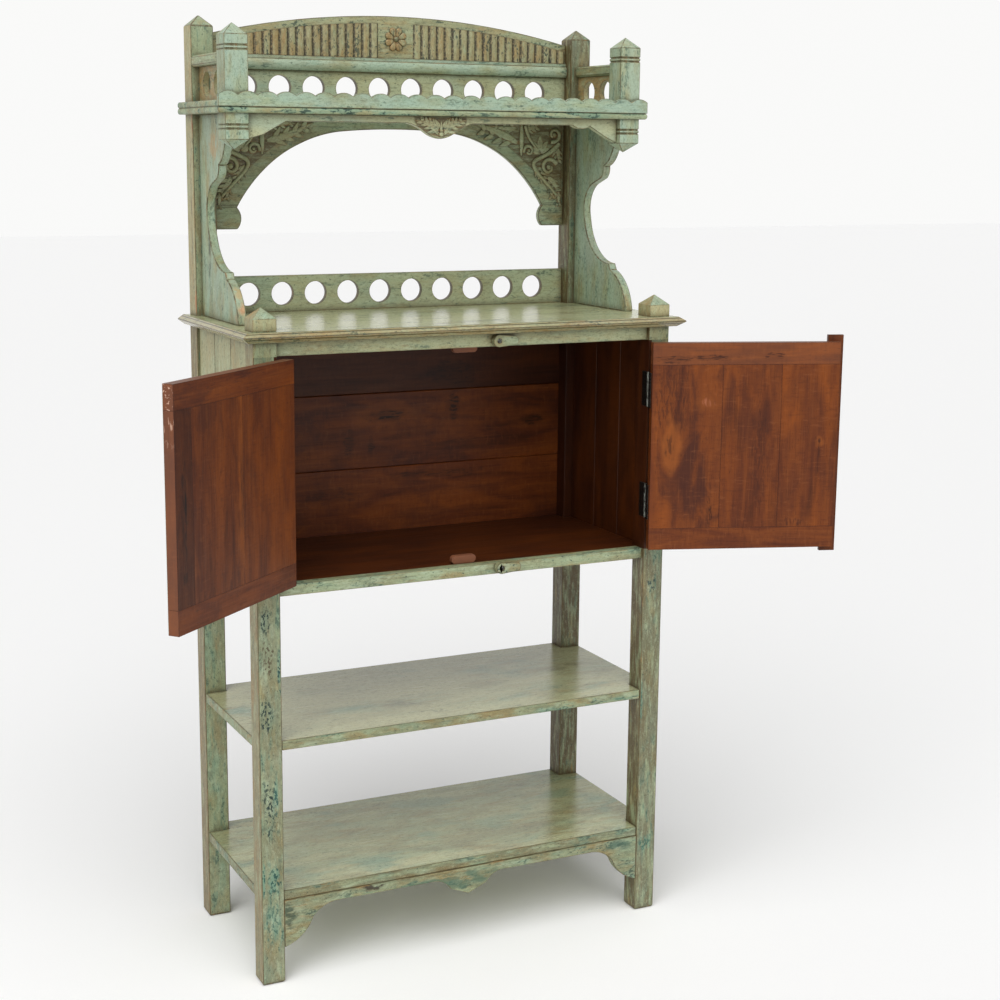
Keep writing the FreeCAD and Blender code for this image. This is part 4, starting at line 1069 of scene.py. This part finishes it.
@dataclass
class OpenShelves:
    """The posts with two open shelves and the cut apron."""

    post_ease: float = 2.0
    shelf_ease: float = 1.8
    inside_bottom: float = 0.812
    inside_top: float = 1.28
    opening_top: float = 1.2525
    side_middle: float = 0.434
    door_edge: float = 0.4095

    def post(self, row: str, side: str) -> None:
        """Build one post, stained where it stands inside the case.

        Args:
            row: The front or the rear row.
            side: The left or the right side.
        """
        front = row == "front"
        top = self.opening_top if front else self.inside_top
        within = 1.0 if front else -1.0
        hand = -1.0 if side == "left" else 1.0
        wiped = (0.42 if front else 0.15) if side == "left" else 0.75

        def stained(place: Vector, normal: Vector) -> bool:
            """Whether a face of the post looks into the case."""
            level = self.inside_bottom < place.z < top
            faces_in = inward(place, normal) or normal.y * within > FACING or abs(place.x) < self.door_edge
            return level and faces_in and abs(place.x) < self.side_middle

        # A heavy brown glaze for faces that look into the cabinet, partly painted shade there.
        shaded = RubbedPaint(Grain.UP, specks=0.2, teal=0.0, tan=1.0, umber=1.0, glaze=1.0, lines=0.7)
        plain = RubbedPaint(Grain.UP, specks=0.2, teal=0.1, tan=1.0)
        coats = [(outward, replace(plain, specks=0.1, lines=0.6, glaze=0.55 if front else 0.85, amber=0.25)),
                 (inward, shaded)]
        if front:
            coats.append((lambda place, normal: place.z > top and normal.y < -FACING,
                          replace(plain, teal=0.2, tan=0.8, bloom_and_painted_light=0.5)))
        else:
            coats.append((lambda place, normal: outward(place, normal) and place.z > top,
                          replace(plain, amber=0.4, bloom_and_painted_light=0.45, lines=1.2, marks=REAR_RUST)))
            # The right rear post's front below the case takes that coat as painted shade under the case.
            if side == "right":
                coats.append((lambda place, normal: normal.y < -FACING and place.z < top,
                              replace(shaded, teal=0.5, lines=0.2)))
        # Inside the case the post is dark stain, deepened by painted shade in its depth and corners.
        coats.append((stained, StainedWood(Grain.UP, depth=0.75, shift=3.0, corner_shade=0.6)))
        cuts = ((2, self.inside_bottom), (2, top), (0, hand * self.side_middle), (0, hand * self.door_edge))
        Board(f"{row}_post_{side}", Grain.UP, self.post_ease, coats=coats, rubbed=0.3, cuts=cuts,
              finish=RubbedPaint(Grain.UP, specks=0.35, teal=0.7, glaze=wiped, tan=0.6, sea=0.1, lines=0.6,
                                 clusters=POST_FLECKS[side] if front else ())).build()

    def build(self) -> None:
        """Build every piece of the open part."""
        for side in SIDES:
            for row in ("front", "rear"):
                self.post(row, side)
        # The middle shelf's top gets more pale coat than the bottom one: painted light that lifts it in the
        # case's shade.
        for name, bloom_and_painted_light, glaze in (("bottom_shelf", 0.35, 0.55), ("middle_shelf", 0.85, 0.15)):
            top = RubbedPaint(specks=0.0, teal=0.05, tan=0.6, smoke=1.0, lines=0.3, rough=0.13, amber=0.08,
                              bloom_and_painted_light=bloom_and_painted_light)
            edge = RubbedPaint(specks=0.5, teal=0.8, tan=0.7, glaze=glaze)
            Board(name, ease=self.shelf_ease, rubbed=0.4, finish=top,
                  coats=[(lambda place, normal: abs(normal.z) < 0.7, edge)]).build()
        Board("bottom_apron", ease=1.2, rubbed=0.4, finish=RubbedPaint(
            specks=0.6, teal=0.5, tan=0.8, glaze=0.3, marks=APRON_SMEARS)).build()


BACK_KNOTS = {
    1: ((108.0, 932.0, 150.0, 12.0, "#1f0e08", 0.5, 0.6, 0.0),
        (-150.0, 900.0, 90.0, 26.0, "#24110d", 0.6, 0.5, 0.0)),
    2: ((-18.9, 1067.4, 56.0, 17.0, "#1a0b06", 0.55, 0.9, 0.25),
        (140.0, 1078.0, 20.0, 34.0, "#1a0b06", 0.6, 0.85, 0.1),
        (336.1, 1038.0, 38.0, 16.0, "#1a0b06", 0.5, 0.85, 0.15),
        (-105.5, 1010.0, 17.0, 34.0, "#1a0b06", 0.6, 0.75, 0.0),
        (-56.7, 1003.0, 10.0, 24.0, "#1a0b06", 0.6, 0.75, 0.0),
        (190.0, 1010.0, 70.0, 20.0, "#7a3f18", 0.7, 0.4, 0.0)),
    3: ((140.0, 1150.0, 80.0, 40.0, "#150a06", 0.5, 0.6, 0.0),),
}


@dataclass
class CupboardCase:
    """The closed case between the open shelves and the counter."""

    seam_ease: float = 0.5
    side_inner: float = 0.4285

    def build(self) -> None:
        """Build the case's boards and rails."""
        for side in SIDES:
            # The inner faces are dark stain, deepened by painted shade inside the case.
            Board(f"side_boards_{side}", Grain.UP, self.seam_ease, rubbed=0.3, finish=RubbedPaint(
                Grain.UP, specks=0.35, teal=0.1, tan=0.85, bloom_and_painted_light=0.5, amber=0.2), coats=[
                    (lambda place, normal: abs(place.x) < self.side_inner,
                     StainedWood(Grain.UP, depth=0.68, orange=0.9, shift=5.0, corner_shade=0.8))]).build()
        # The upper back board is the darkest: painted shade under the counter over the stain, with painted
        # shade in the corners.
        for number, depth, plum in ((1, 0.0, 0.5), (2, 0.12, 0.7), (3, 0.7, 0.0)):
            self.stained(f"back_board_{number}", self.seam_ease, StainedWood(
                depth=depth, plum=plum, shift=11.0 * number, seam=0.12, corner_shade=0.7,
                marks=marks_on(187.0, 12.0, BACK_KNOTS[number])))
        # The case floor is dark stain deepened by painted shade, with painted shade in its corners.
        self.stained("case_floor", self.seam_ease, StainedWood(depth=0.6, orange=0.6, shift=7.0, corner_shade=0.9))
        for place, level in (("top", 0.3), ("bottom", 0.9)):
            Board(f"case_{place}_rail", ease=1.2, rubbed=0.5,
                  finish=RubbedPaint(specks=level, teal=level, bloom_and_painted_light=0.9 - level, tan=0.7),
                  coats=[(lambda place, normal: normal.y > FACING, StainedWood(depth=0.3))]).build()
            self.stained(f"door_stop_{place}", 1.5, StainedWood(fade=0.45))

    def stained(self, node: str, ease: float, wood: StainedWood) -> None:
        """Build one stained board."""
        Board(node, ease=ease, slot=Slot.STAIN, finish=wood).build()


def door_joint(side: str) -> dict:
    """The frame's record of the joint that a door swings on."""
    return next(joint for joint in frame["joints"] if joint["child"] == f"{side}_door")


@dataclass
class Door:
    """One door: rails, upright boards and, at the right, the astragal."""

    side: str
    woods: dict[str, StainedWood]
    joint_ease: float = 0.2

    def swing(self) -> float:
        """How far the door stands open about the upward axis, in radians."""
        joint = door_joint(self.side)
        return math.radians(-joint["range_deg"][0]) * math.copysign(1.0, joint["axis"][2])

    def build(self) -> None:
        """Build the door's pieces on its own body."""
        turn = self.swing()
        inner = Vector((-math.sin(turn), math.cos(turn), 0.0))
        free = Vector((math.cos(turn), math.sin(turn), 0.0)) * (1.0 if self.side == "left" else -1.0)
        body = f"{self.side}_door"

        def painted(place: Vector, normal: Vector) -> bool:
            """Whether a face lies on the door's outside."""
            return normal.dot(inner) < -0.5

        def capped(place: Vector, normal: Vector) -> bool:
            """Whether a face is the upper or lower end of the door."""
            return abs(normal.z) > FACING

        def worn(place: Vector, normal: Vector) -> bool:
            """Whether a face lies on the door's free edge."""
            return normal.dot(free) > FACING

        for name, wood in self.woods.items():
            grain = wood.grain
            wood = replace(wood, turn=turn)
            Board(f"{body}_{name}" if name != "astragal" else name, grain, self.joint_ease, segments=1,
                  finish=wood, coats=[(painted, RubbedPaint(grain, turn, specks=0.6)),
                                      (capped, StainedWood(Grain.ACROSS, turn, depth=0.3, fade=0.15)),
                                      (worn, replace(wood, depth=0.2, fade=0.28, worn=0.9))]).build(body)
        log.info("%s stands open by %.0f degrees", body, math.degrees(turn))


LEFT_WOODS = {
    "board_1": StainedWood(Grain.UP, orange=0.7, plum=0.4, shift=2.0, depth=0.12),
    "board_2": StainedWood(Grain.UP, orange=0.4, plum=0.6, shift=17.0, depth=0.12, marks=(
        Mark((-522.5, -350.0, 1035.0), (9.0, 12.0, 100.0), "#331a10", 0.5, 0.6),)),
    "board_3": StainedWood(Grain.UP, orange=0.1, plum=0.8, shift=31.0, depth=0.45, marks=(
        # A near-black slit: painted shade standing in for a narrow gap in the board.
        Mark((-660.7, -466.0, 1041.5), (4.2, 12.0, 32.0), "#050201", 0.1, 1.0, 0.0),
        Mark((-664.0, -469.0, 1010.0), (13.0, 12.0, 160.0), "#1c0e0a", 0.7, 0.75, 0.0))),
    "bottom_rail": StainedWood(Grain.ACROSS, orange=0.3, plum=0.5, shift=43.0),
    "top_rail": StainedWood(Grain.ACROSS, orange=0.4, plum=0.7, shift=53.0, marks=(
        Mark((-534.2, -359.8, 1243.0), (60.0, 12.0, 18.0), "#301412", 0.9, 0.4, 0.0),)),
}
RIGHT_WOODS = {
    "board_1": StainedWood(Grain.UP, orange=0.6, plum=0.9, shift=61.0, marks=(
        Mark((430.0, -250.0, 1130.0), (52.0, 12.0, 110.0), "#35170e", 0.8, 0.6, 0.0),
        Mark((502.7, -275.0, 1125.9), (15.0, 12.0, 12.0), "#a8674a", 0.9, 0.6, 0.2),
        Mark((429.9, -249.9, 1033.0), (12.0, 12.0, 34.0), "#2c1409", 0.9, 0.6, 0.5),
        Mark((511.9, -278.2, 896.8), (7.0, 12.0, 36.0), "#250f07", 0.9, 0.8, 0.0))),
    "board_2": StainedWood(Grain.UP, orange=0.5, plum=0.5, shift=73.0, marks=(
        Mark((610.0, -312.0, 1030.0), (24.0, 12.0, 150.0), "#37190f", 0.9, 0.5, 0.0),)),
    "board_3": StainedWood(Grain.UP, orange=0.9, plum=0.3, shift=83.0, marks=(
        Mark((729.8, -353.2, 1044.6), (4.5, 12.0, 7.0), "#200e08", 0.6, 1.0),
        Mark((729.0, -353.0, 1010.0), (3.0, 12.0, 60.0), "#35170c", 0.9, 0.6, 0.0),
        Mark((676.8, -335.0, 872.5), (30.0, 12.0, 11.0), "#30140d", 0.9, 0.6, 0.1))),
    "bottom_rail": StainedWood(Grain.ACROSS, orange=0.8, plum=0.3, shift=97.0),
    "top_rail": StainedWood(Grain.ACROSS, orange=0.7, plum=0.4, shift=103.0, fade=0.15, marks=(
        Mark((425.0, -248.0, 1217.0), (52.0, 12.0, 10.0), "#2b140e", 0.75, 0.9, 0.0),
        Mark((505.0, -275.0, 1219.0), (64.0, 12.0, 8.0), "#2b140e", 0.75, 0.9, 0.1),
        Mark((632.9, -319.8, 1223.0), (30.0, 12.0, 10.0), "#2b1411", 0.75, 0.8, 0.1))),
    "astragal": StainedWood(Grain.UP, orange=0.3, plum=0.5, shift=113.0, depth=0.2),
}


@dataclass
class Ironwork:
    """Butt hinges and the turn buttons with their screws."""

    leaf_ease: float = 0.25
    knuckle_radius: float = 0.0034

    def build(self) -> None:
        """Build the hinge leaves, screws and turn buttons."""
        iron = BlackIron()
        # The pale rubbed iron on the knuckles and screw heads is partly painted highlight.
        bright = replace(iron, rub=1.0, name="rubbed_iron_highlights")
        for side in SIDES:
            pin = Vector(door_joint(side)["pos_m"])

            def knuckle(place: Vector, normal: Vector, pin: Vector = pin) -> bool:
                """Whether a face lies on the knuckles round the pin."""
                return (place - pin).xy.length < self.knuckle_radius

            for seat, body in (("post", "cabinet"), ("door", f"{side}_door")):
                Board(f"{side}_hinge_{seat}_leaves", ease=self.leaf_ease, slot=Slot.IRON, finish=iron,
                      coats=[(knuckle, replace(bright, rub=0.9))]).build(body)
        Board("button_screws", ease=0.3, slot=Slot.IRON, finish=bright).build()
        for place in ("top", "bottom"):
            Board(f"{place}_turn_button", ease=1.2, rubbed=0.5,
                  finish=RubbedPaint(specks=0.9)).build(f"{place}_button")


BRACKET_RUST = (
    Mark((-424.0, -62.0, 1318.0), (16.0, 18.0, 26.0), "#c98d5e", 0.7, 0.75),
    Mark((-424.0, -46.0, 1365.0), (14.0, 18.0, 36.0), "#b99a66", 0.8, 0.6),
    Mark((-436.5, 100.0, 1420.0), (6.0, 9.0, 60.0), "#2c3a2a", 0.7, 0.8),
    Mark((-436.5, 60.0, 1640.0), (8.0, 40.0, 30.0), "#b08a58", 0.8, 0.6),
)


@dataclass
class UpperStage:
    """The counter, brackets, arch, carved spandrels and pierced gallery above the cupboard."""

    nose: tuple[float, ...] = (1297.2, 1291.6, 1286.8)
    rings: tuple[float, ...] = (1516.0, 1520.0)
    spandrel_corner: Place = (397.0, 180.0, 1693.0)

    def foliage(self, side: str) -> Carving:
        """The scrolls and leaves of one spandrel, measured from its outer upper corner.

        Args:
            side: The left or the right spandrel.

        Returns:
            The carving.
        """
        x, y, z = self.spandrel_corner
        hand = 1.0 if side == "left" else -1.0
        carving = Carving((-hand * x, y, z), hand, rise=4.2)
        for base, tip, width, bow, lobes in (
                ((108.0, 44.0), (214.0, 5.0), 25.0, -5.0, 4), ((108.0, 13.0), (176.0, 8.0), 17.0, 2.0, 3),
                ((94.0, 15.0), (58.0, 7.0), 17.0, 0.0, 3), ((34.0, 116.0), (6.0, 150.0), 20.0, 3.0, 3),
                ((26.0, 134.0), (22.0, 164.0), 14.0, 0.0, 2), ((8.0, 146.0), (5.0, 182.0), 13.0, 1.0, 2),
                ((66.0, 92.0), (44.0, 126.0), 18.0, -3.0, 3), ((14.0, 50.0), (6.0, 88.0), 17.0, 2.0, 3)):
            carving.leaf(base, tip, width * 1.45, bow, lobes)
        for angle in (-78.0, -42.0, 0.0, 42.0, 78.0):
            reach, lean = 34.0 - abs(angle) * 0.12, math.radians(angle)
            carving.blade((54.0, 62.0), (54.0 + reach * math.sin(lean), 60.0 - reach * math.cos(lean)), 23.0)
        carving.blade((100.0, 1.0), (100.0, 72.0), 11.0, pointed=False)
        carving.stem(((8.0, 44.0), (24.0, 62.0), (48.0, 72.0), (74.0, 84.0), (62.0, 106.0), (36.0, 130.0),
                      (12.0, 156.0)), 12.0, 0.6)
        carving.stem(((92.0, 6.0), (86.0, 24.0), (74.0, 44.0), (56.0, 62.0)), 10.0)
        carving.curl((32.0, 95.0), 21.0, 10.5, 200.0, 1.0)
        carving.curl((82.0, 60.0), 14.0, 8.5, 20.0, -1.0)
        carving.curl((20.0, 25.0), 18.0, 10.0, 60.0, 1.0)
        return carving

    def build(self) -> None:
        """Build the boards between the counter and the upper shelf."""
        # The counter's top carries the full pale coat, partly painted light, and its edges less.
        counter = RubbedPaint(specks=0.4, teal=0.15, tan=0.9, bloom_and_painted_light=1.0, smoke=0.35, lines=0.6, umber=0.4,
                              rough=0.09, grooves=self.nose)
        top = max(corner[2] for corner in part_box("counter_top"))
        Board("counter_top", ease=1.0, rubbed=0.5, finish=counter, coats=[
            (lambda place, normal: place.z < top - MM and normal.z > -FACING,
             replace(counter, bloom_and_painted_light=0.6, smoke=0.0, amber=0.45))]).build()
        Board("counter_gallery", ease=1.2, rubbed=0.3, finish=RubbedPaint(sea=0.4, bloom_and_painted_light=0.55),
              coats=[(pierced("counter_gallery"), HOLE_WALL)]).build()
        Board("arch_board", ease=1.8, rubbed=0.35, finish=RubbedPaint(grooves=self.rings)).build()
        # The carved leaves carry a pale coat that partly serves as painted light against the shade of the
        # relief.
        carved = RubbedPaint(umber=0.85, tan=0.6, bloom_and_painted_light=0.5, reach=7.0, teal=0.2, name="rubbed_foliage")
        ground = sunk(self.spandrel_corner[1] * MM)
        beige = RubbedPaint(Grain.UP, specks=0.1, teal=0.0, tan=1.0, bloom_and_painted_light=0.9, amber=0.3, lines=0.4)
        for side in SIDES:
            Board(f"finial_{side}", Grain.UP, 1.0, rubbed=0.8, finish=beige, coats=[
                (lambda place, normal: normal.x < -0.3, replace(beige, bloom_and_painted_light=0.0, amber=0.45, lines=0.5)),
                (lambda place, normal: normal.y < -0.3 and normal.z > 0.3,
                 RubbedPaint(Grain.UP, specks=0.2, teal=0.4, sea=0.3))]).build()
            Board(f"bracket_{side}", Grain.UP, 2.0, rubbed=0.6, finish=RubbedPaint(
                Grain.UP, teal=0.4, sea=0.5, tan=0.7, marks=BRACKET_RUST)).build()
            Board(f"spandrel_{side}", ease=0.4, segments=1, finish=carved, sink=3.0,
                  carving=self.foliage(side), coats=[(ground, UMBER_GROUND)]).build()


@dataclass
class TopShelf:
    """The upper shelf with its scalloped strip, valance, pendants, galleries and carved crest."""

    leaf_corner: Place = (0.0, -49.8, 1696.0)
    rosette_centre: Place = (0.0, 180.5, 1859.5)
    disc_radius: float = 20.5
    disc_depth: float = 1.5
    petals: int = 8
    boss_radius: float = 0.0052
    reed_start: float = 40.0
    reed_pitch: float = 18.00

    def leaf(self) -> Carving:
        """The palm of leaves on the valance, measured from the middle of its top.

        Returns:
            The carving.
        """
        carving = Carving(self.leaf_corner, rise=3.6)
        for hand in (-1.0, 1.0):
            carving.leaf((hand * 5.0, 33.0), (hand * 55.0, 4.0), 25.0, hand * 6.0, 4)
            carving.leaf((hand * 5.0, 26.0), (hand * 33.0, 3.0), 19.0, hand * 3.0, 3)
            carving.blade((hand * 3.0, 20.0), (hand * 15.0, 2.0), 14.0)
            carving.bead((hand * 42.0, 4.0), 3.6)
        carving.blade((0.0, 30.0), (0.0, 3.0), 10.0)
        carving.bead((0.0, 32.0), 5.0)
        return carving

    def rosette(self, finish: RubbedPaint) -> None:
        """Build the eight-petalled flower in the middle of the crest.

        Args:
            finish: Its paint.
        """
        x, y, z = self.rosette_centre
        bpy.ops.mesh.primitive_cylinder_add(
            vertices=48, radius=self.disc_radius * MM, depth=self.disc_depth * MM,
            location=(x * MM, (y + self.disc_depth / 2) * MM, z * MM), rotation=(math.pi / 2, 0.0, 0.0))
        disc = bpy.context.active_object
        disc.name = disc.data.name = "rosette_dressed"
        bpy.ops.object.transform_apply(location=True, rotation=True, scale=True)
        modify(disc, "BEVEL", width=0.0005, segments=1, limit_method="ANGLE")
        carving = Carving(self.rosette_centre, rise=4.6)
        for number in range(self.petals):
            angle = math.tau * (number + 0.5) / self.petals
            tip, base = (Vector((math.cos(angle), math.sin(angle))) * reach for reach in (25.0, 3.0))
            carving.blade(tuple(tip), tuple(base), 19.0)
        carving.bead((0.0, 0.0), 6.0, rise=5.6)
        carving.join(disc)
        centre = Vector(self.rosette_centre) * MM
        flower = Board("rosette", finish=finish, carving=carving, coats=[
            (lambda place, normal: (place - centre).xz.length < self.boss_radius, UMBER_GROUND)])
        flower.piece = disc
        flower.smooth()
        flower.dress()
        settle(disc, "cabinet", "rosette")

    def build(self) -> None:
        """Build the boards from the upper shelf to the crest."""
        for name, ease, rubbed, finish in (
                ("upper_shelf", 0.8, 0.3, RubbedPaint(specks=1.0, teal=0.9)),
                ("shelf_strip", 0.8, 0.5, RubbedPaint(specks=0.4, tan=0.4, sea=0.65)),
                ("valance", 1.0, 0.3, RubbedPaint(tan=0.8, specks=0.3, sea=0.9, bloom_and_painted_light=0.95)),
                ("back_rail", 0.8, 0.5, RubbedPaint(specks=0.4, teal=0.4, sea=0.7, bloom_and_painted_light=0.2)),
                ("crest_board", 1.5, 0.5, RubbedPaint(punched=self.rosette_centre, specks=0.7, bloom_and_painted_light=0.4,
                                                      tan=0.9, amber=0.15))):
            Board(name, ease=ease, rubbed=rubbed, finish=finish).build()
        Board("valance_leaf", ease=0.4, segments=1, sink=2.2, carving=self.leaf(),
              coats=[(sunk(self.leaf_corner[1] * MM), UMBER_GROUND)], finish=RubbedPaint(
                  umber=0.85, tan=0.5, bloom_and_painted_light=0.6, reach=6.0, teal=0.15, name="rubbed_foliage")).build()
        Board("top_gallery", ease=1.2, rubbed=0.3, finish=RubbedPaint(sea=0.75, bloom_and_painted_light=0.75),
              coats=[(pierced("top_gallery"), HOLE_WALL)]).build()
        hole = RubbedPaint(Grain.DEEP, umber=0.2, tan=1.0, amber=0.4, bloom_and_painted_light=0.9)
        carved = RubbedPaint(Grain.UP, umber=1.0, tan=1.0, specks=0.8, teal=0.1, reach=6.0, bloom_and_painted_light=0.3,
                             amber=0.4, ribs=(self.reed_start, self.reed_pitch), name="rubbed_reeds")
        for side in SIDES:
            Board(f"pendant_{side}", Grain.UP, 0.9, rubbed=0.6,
                  coats=[(outward, RubbedPaint(Grain.UP, tan=0.8, sea=0.3))],
                  finish=RubbedPaint(Grain.UP, specks=0.3, teal=0.5, sea=0.8, bloom_and_painted_light=0.25)).build()
            Board(f"side_gallery_{side}", Grain.DEEP, 1.0, rubbed=0.2,
                  finish=replace(hole, umber=0.35, amber=0.75, bloom_and_painted_light=0.3),
                  coats=[(pierced(f"side_gallery_{side}"), hole)]).build()
            Board(f"side_cap_{side}", Grain.DEEP, 0.8, rubbed=0.4,
                  finish=RubbedPaint(Grain.DEEP, tan=0.8)).build()
            Board(f"reed_panel_{side}", Grain.UP, 0.3, segments=1, finish=carved).build()
        self.rosette(replace(carved, name="rubbed_rosette", specks=0.3, ribs=None, amber=0.8))


@dataclass
class Studio:
    """A pale floor, soft lights and the camera at the photograph's angle."""

    eye: Place = (-1.4725, -3.2806, 1.6315)
    heading: float = 0.44687
    tilt: float = -0.18856
    roll: float = 0.00729
    lens: float = 62.91
    shift: Flat = (0.02707, -0.01538)
    sky: float = 0.26
    backdrop: float = 0.97
    floor_size: float = 60.0
    sensor: float = 36.0
    sun: float = 2.5
    sun_spread: float = 70.0
    sun_from: Place = (-0.28, -0.50, 0.82)
    lamp_aim: Place = (0.0, 0.0, 1.1)
    lamps: tuple[tuple[str, Place, float, float], ...] = (
        ("key", (-2.4, -2.0, 2.2), 1.6, 16.0), ("fill", (2.6, -3.2, 1.8), 2.4, 4.0))

    def floor(self) -> None:
        """A wide pale floor."""
        bpy.ops.mesh.primitive_plane_add(size=self.floor_size)
        floor = bpy.context.active_object
        floor.name = "studio_floor"
        pattern = Pattern("matt_white_paper", Grain.ACROSS)
        grain = pattern.window((3.0, 3.0), 0.3, 0.7)
        colour = pattern.over("#fdfdfd", "#ffffff", grain)
        floor.data.materials.append(pattern.finish(colour, 0.9, None, 0.0))

    def world(self) -> None:
        """A white sky that is seen and mirrored, but lights the cabinet only a little."""
        world = bpy.data.worlds.new("studio_sky")
        world.use_nodes = True
        tree = world.node_tree
        tree.nodes.clear()
        white = linear("#fdfdfc")
        add = partial(add_node, tree)
        lighting, seen = (add("Background", {"Color": white, "Strength": strength})
                          for strength in (self.sky, self.backdrop))
        by_camera, by_gloss = add("LightPath"), add("LightPath", out=3)
        either = add("Math", {0: by_camera, 1: by_gloss}, operation="MAXIMUM")
        add("OutputWorld", {"Surface": add("MixShader", {0: either, 1: lighting, 2: seen})})
        bpy.context.scene.world = world

    def lights(self) -> None:
        """A wide soft light from above and two large lamps that look at the middle of the cabinet."""
        above = bpy.data.lights.new("above", "SUN")
        above.energy = self.sun
        above.angle = math.radians(self.sun_spread)
        self.hang(above, self.sun_from, Vector(self.sun_from))
        for name, spot, width, power in self.lamps:
            lamp = bpy.data.lights.new(name, "AREA")
            lamp.size = width
            lamp.energy = power
            self.hang(lamp, spot, Vector(spot) - Vector(self.lamp_aim))

    def hang(self, lamp: bpy.types.Light, spot: Sequence[float], back: Vector) -> None:
        """Put a lamp at its spot with its back turned that way.

        Args:
            lamp: The lamp.
            spot: Where it hangs.
            back: The direction away from what it lights.
        """
        stand = put(lamp.name, lamp)
        stand.location = spot
        stand.rotation_euler = back.to_track_quat("Z", "Y").to_euler()

    def camera(self) -> None:
        """The camera where the photograph was taken from."""
        ahead = Vector((math.sin(self.heading) * math.cos(self.tilt),
                        math.cos(self.heading) * math.cos(self.tilt), math.sin(self.tilt)))
        level = Vector((math.cos(self.heading), -math.sin(self.heading), 0.0))
        over = level.cross(ahead)
        right = level * math.cos(self.roll) + over * math.sin(self.roll)
        top = over * math.cos(self.roll) - level * math.sin(self.roll)
        lens = bpy.data.cameras.new("camera")
        lens.sensor_width = self.sensor
        lens.lens = self.lens
        lens.shift_x, lens.shift_y = self.shift
        eye = put("camera", lens)
        eye.matrix_world = Matrix.Translation(self.eye) @ Matrix((right, top, -ahead)).transposed().to_4x4()
        bpy.context.scene.camera = eye

    def build(self) -> None:
        """Set up floor, lights and camera."""
        self.floor()
        self.world()
        self.lights()
        self.camera()
        bpy.context.scene.view_settings.view_transform = "Standard"


def main() -> None:
    """Build the cabinet and its setting in order."""
    logging.basicConfig(level=logging.INFO, format="%(name)s: %(message)s")
    for part in (OpenShelves(), CupboardCase(), Door("left", LEFT_WOODS), Door("right", RIGHT_WOODS),
                 Ironwork(), UpperStage(), TopShelf(), Studio()):
        part.build()


if __name__ == "__main__":
    main()
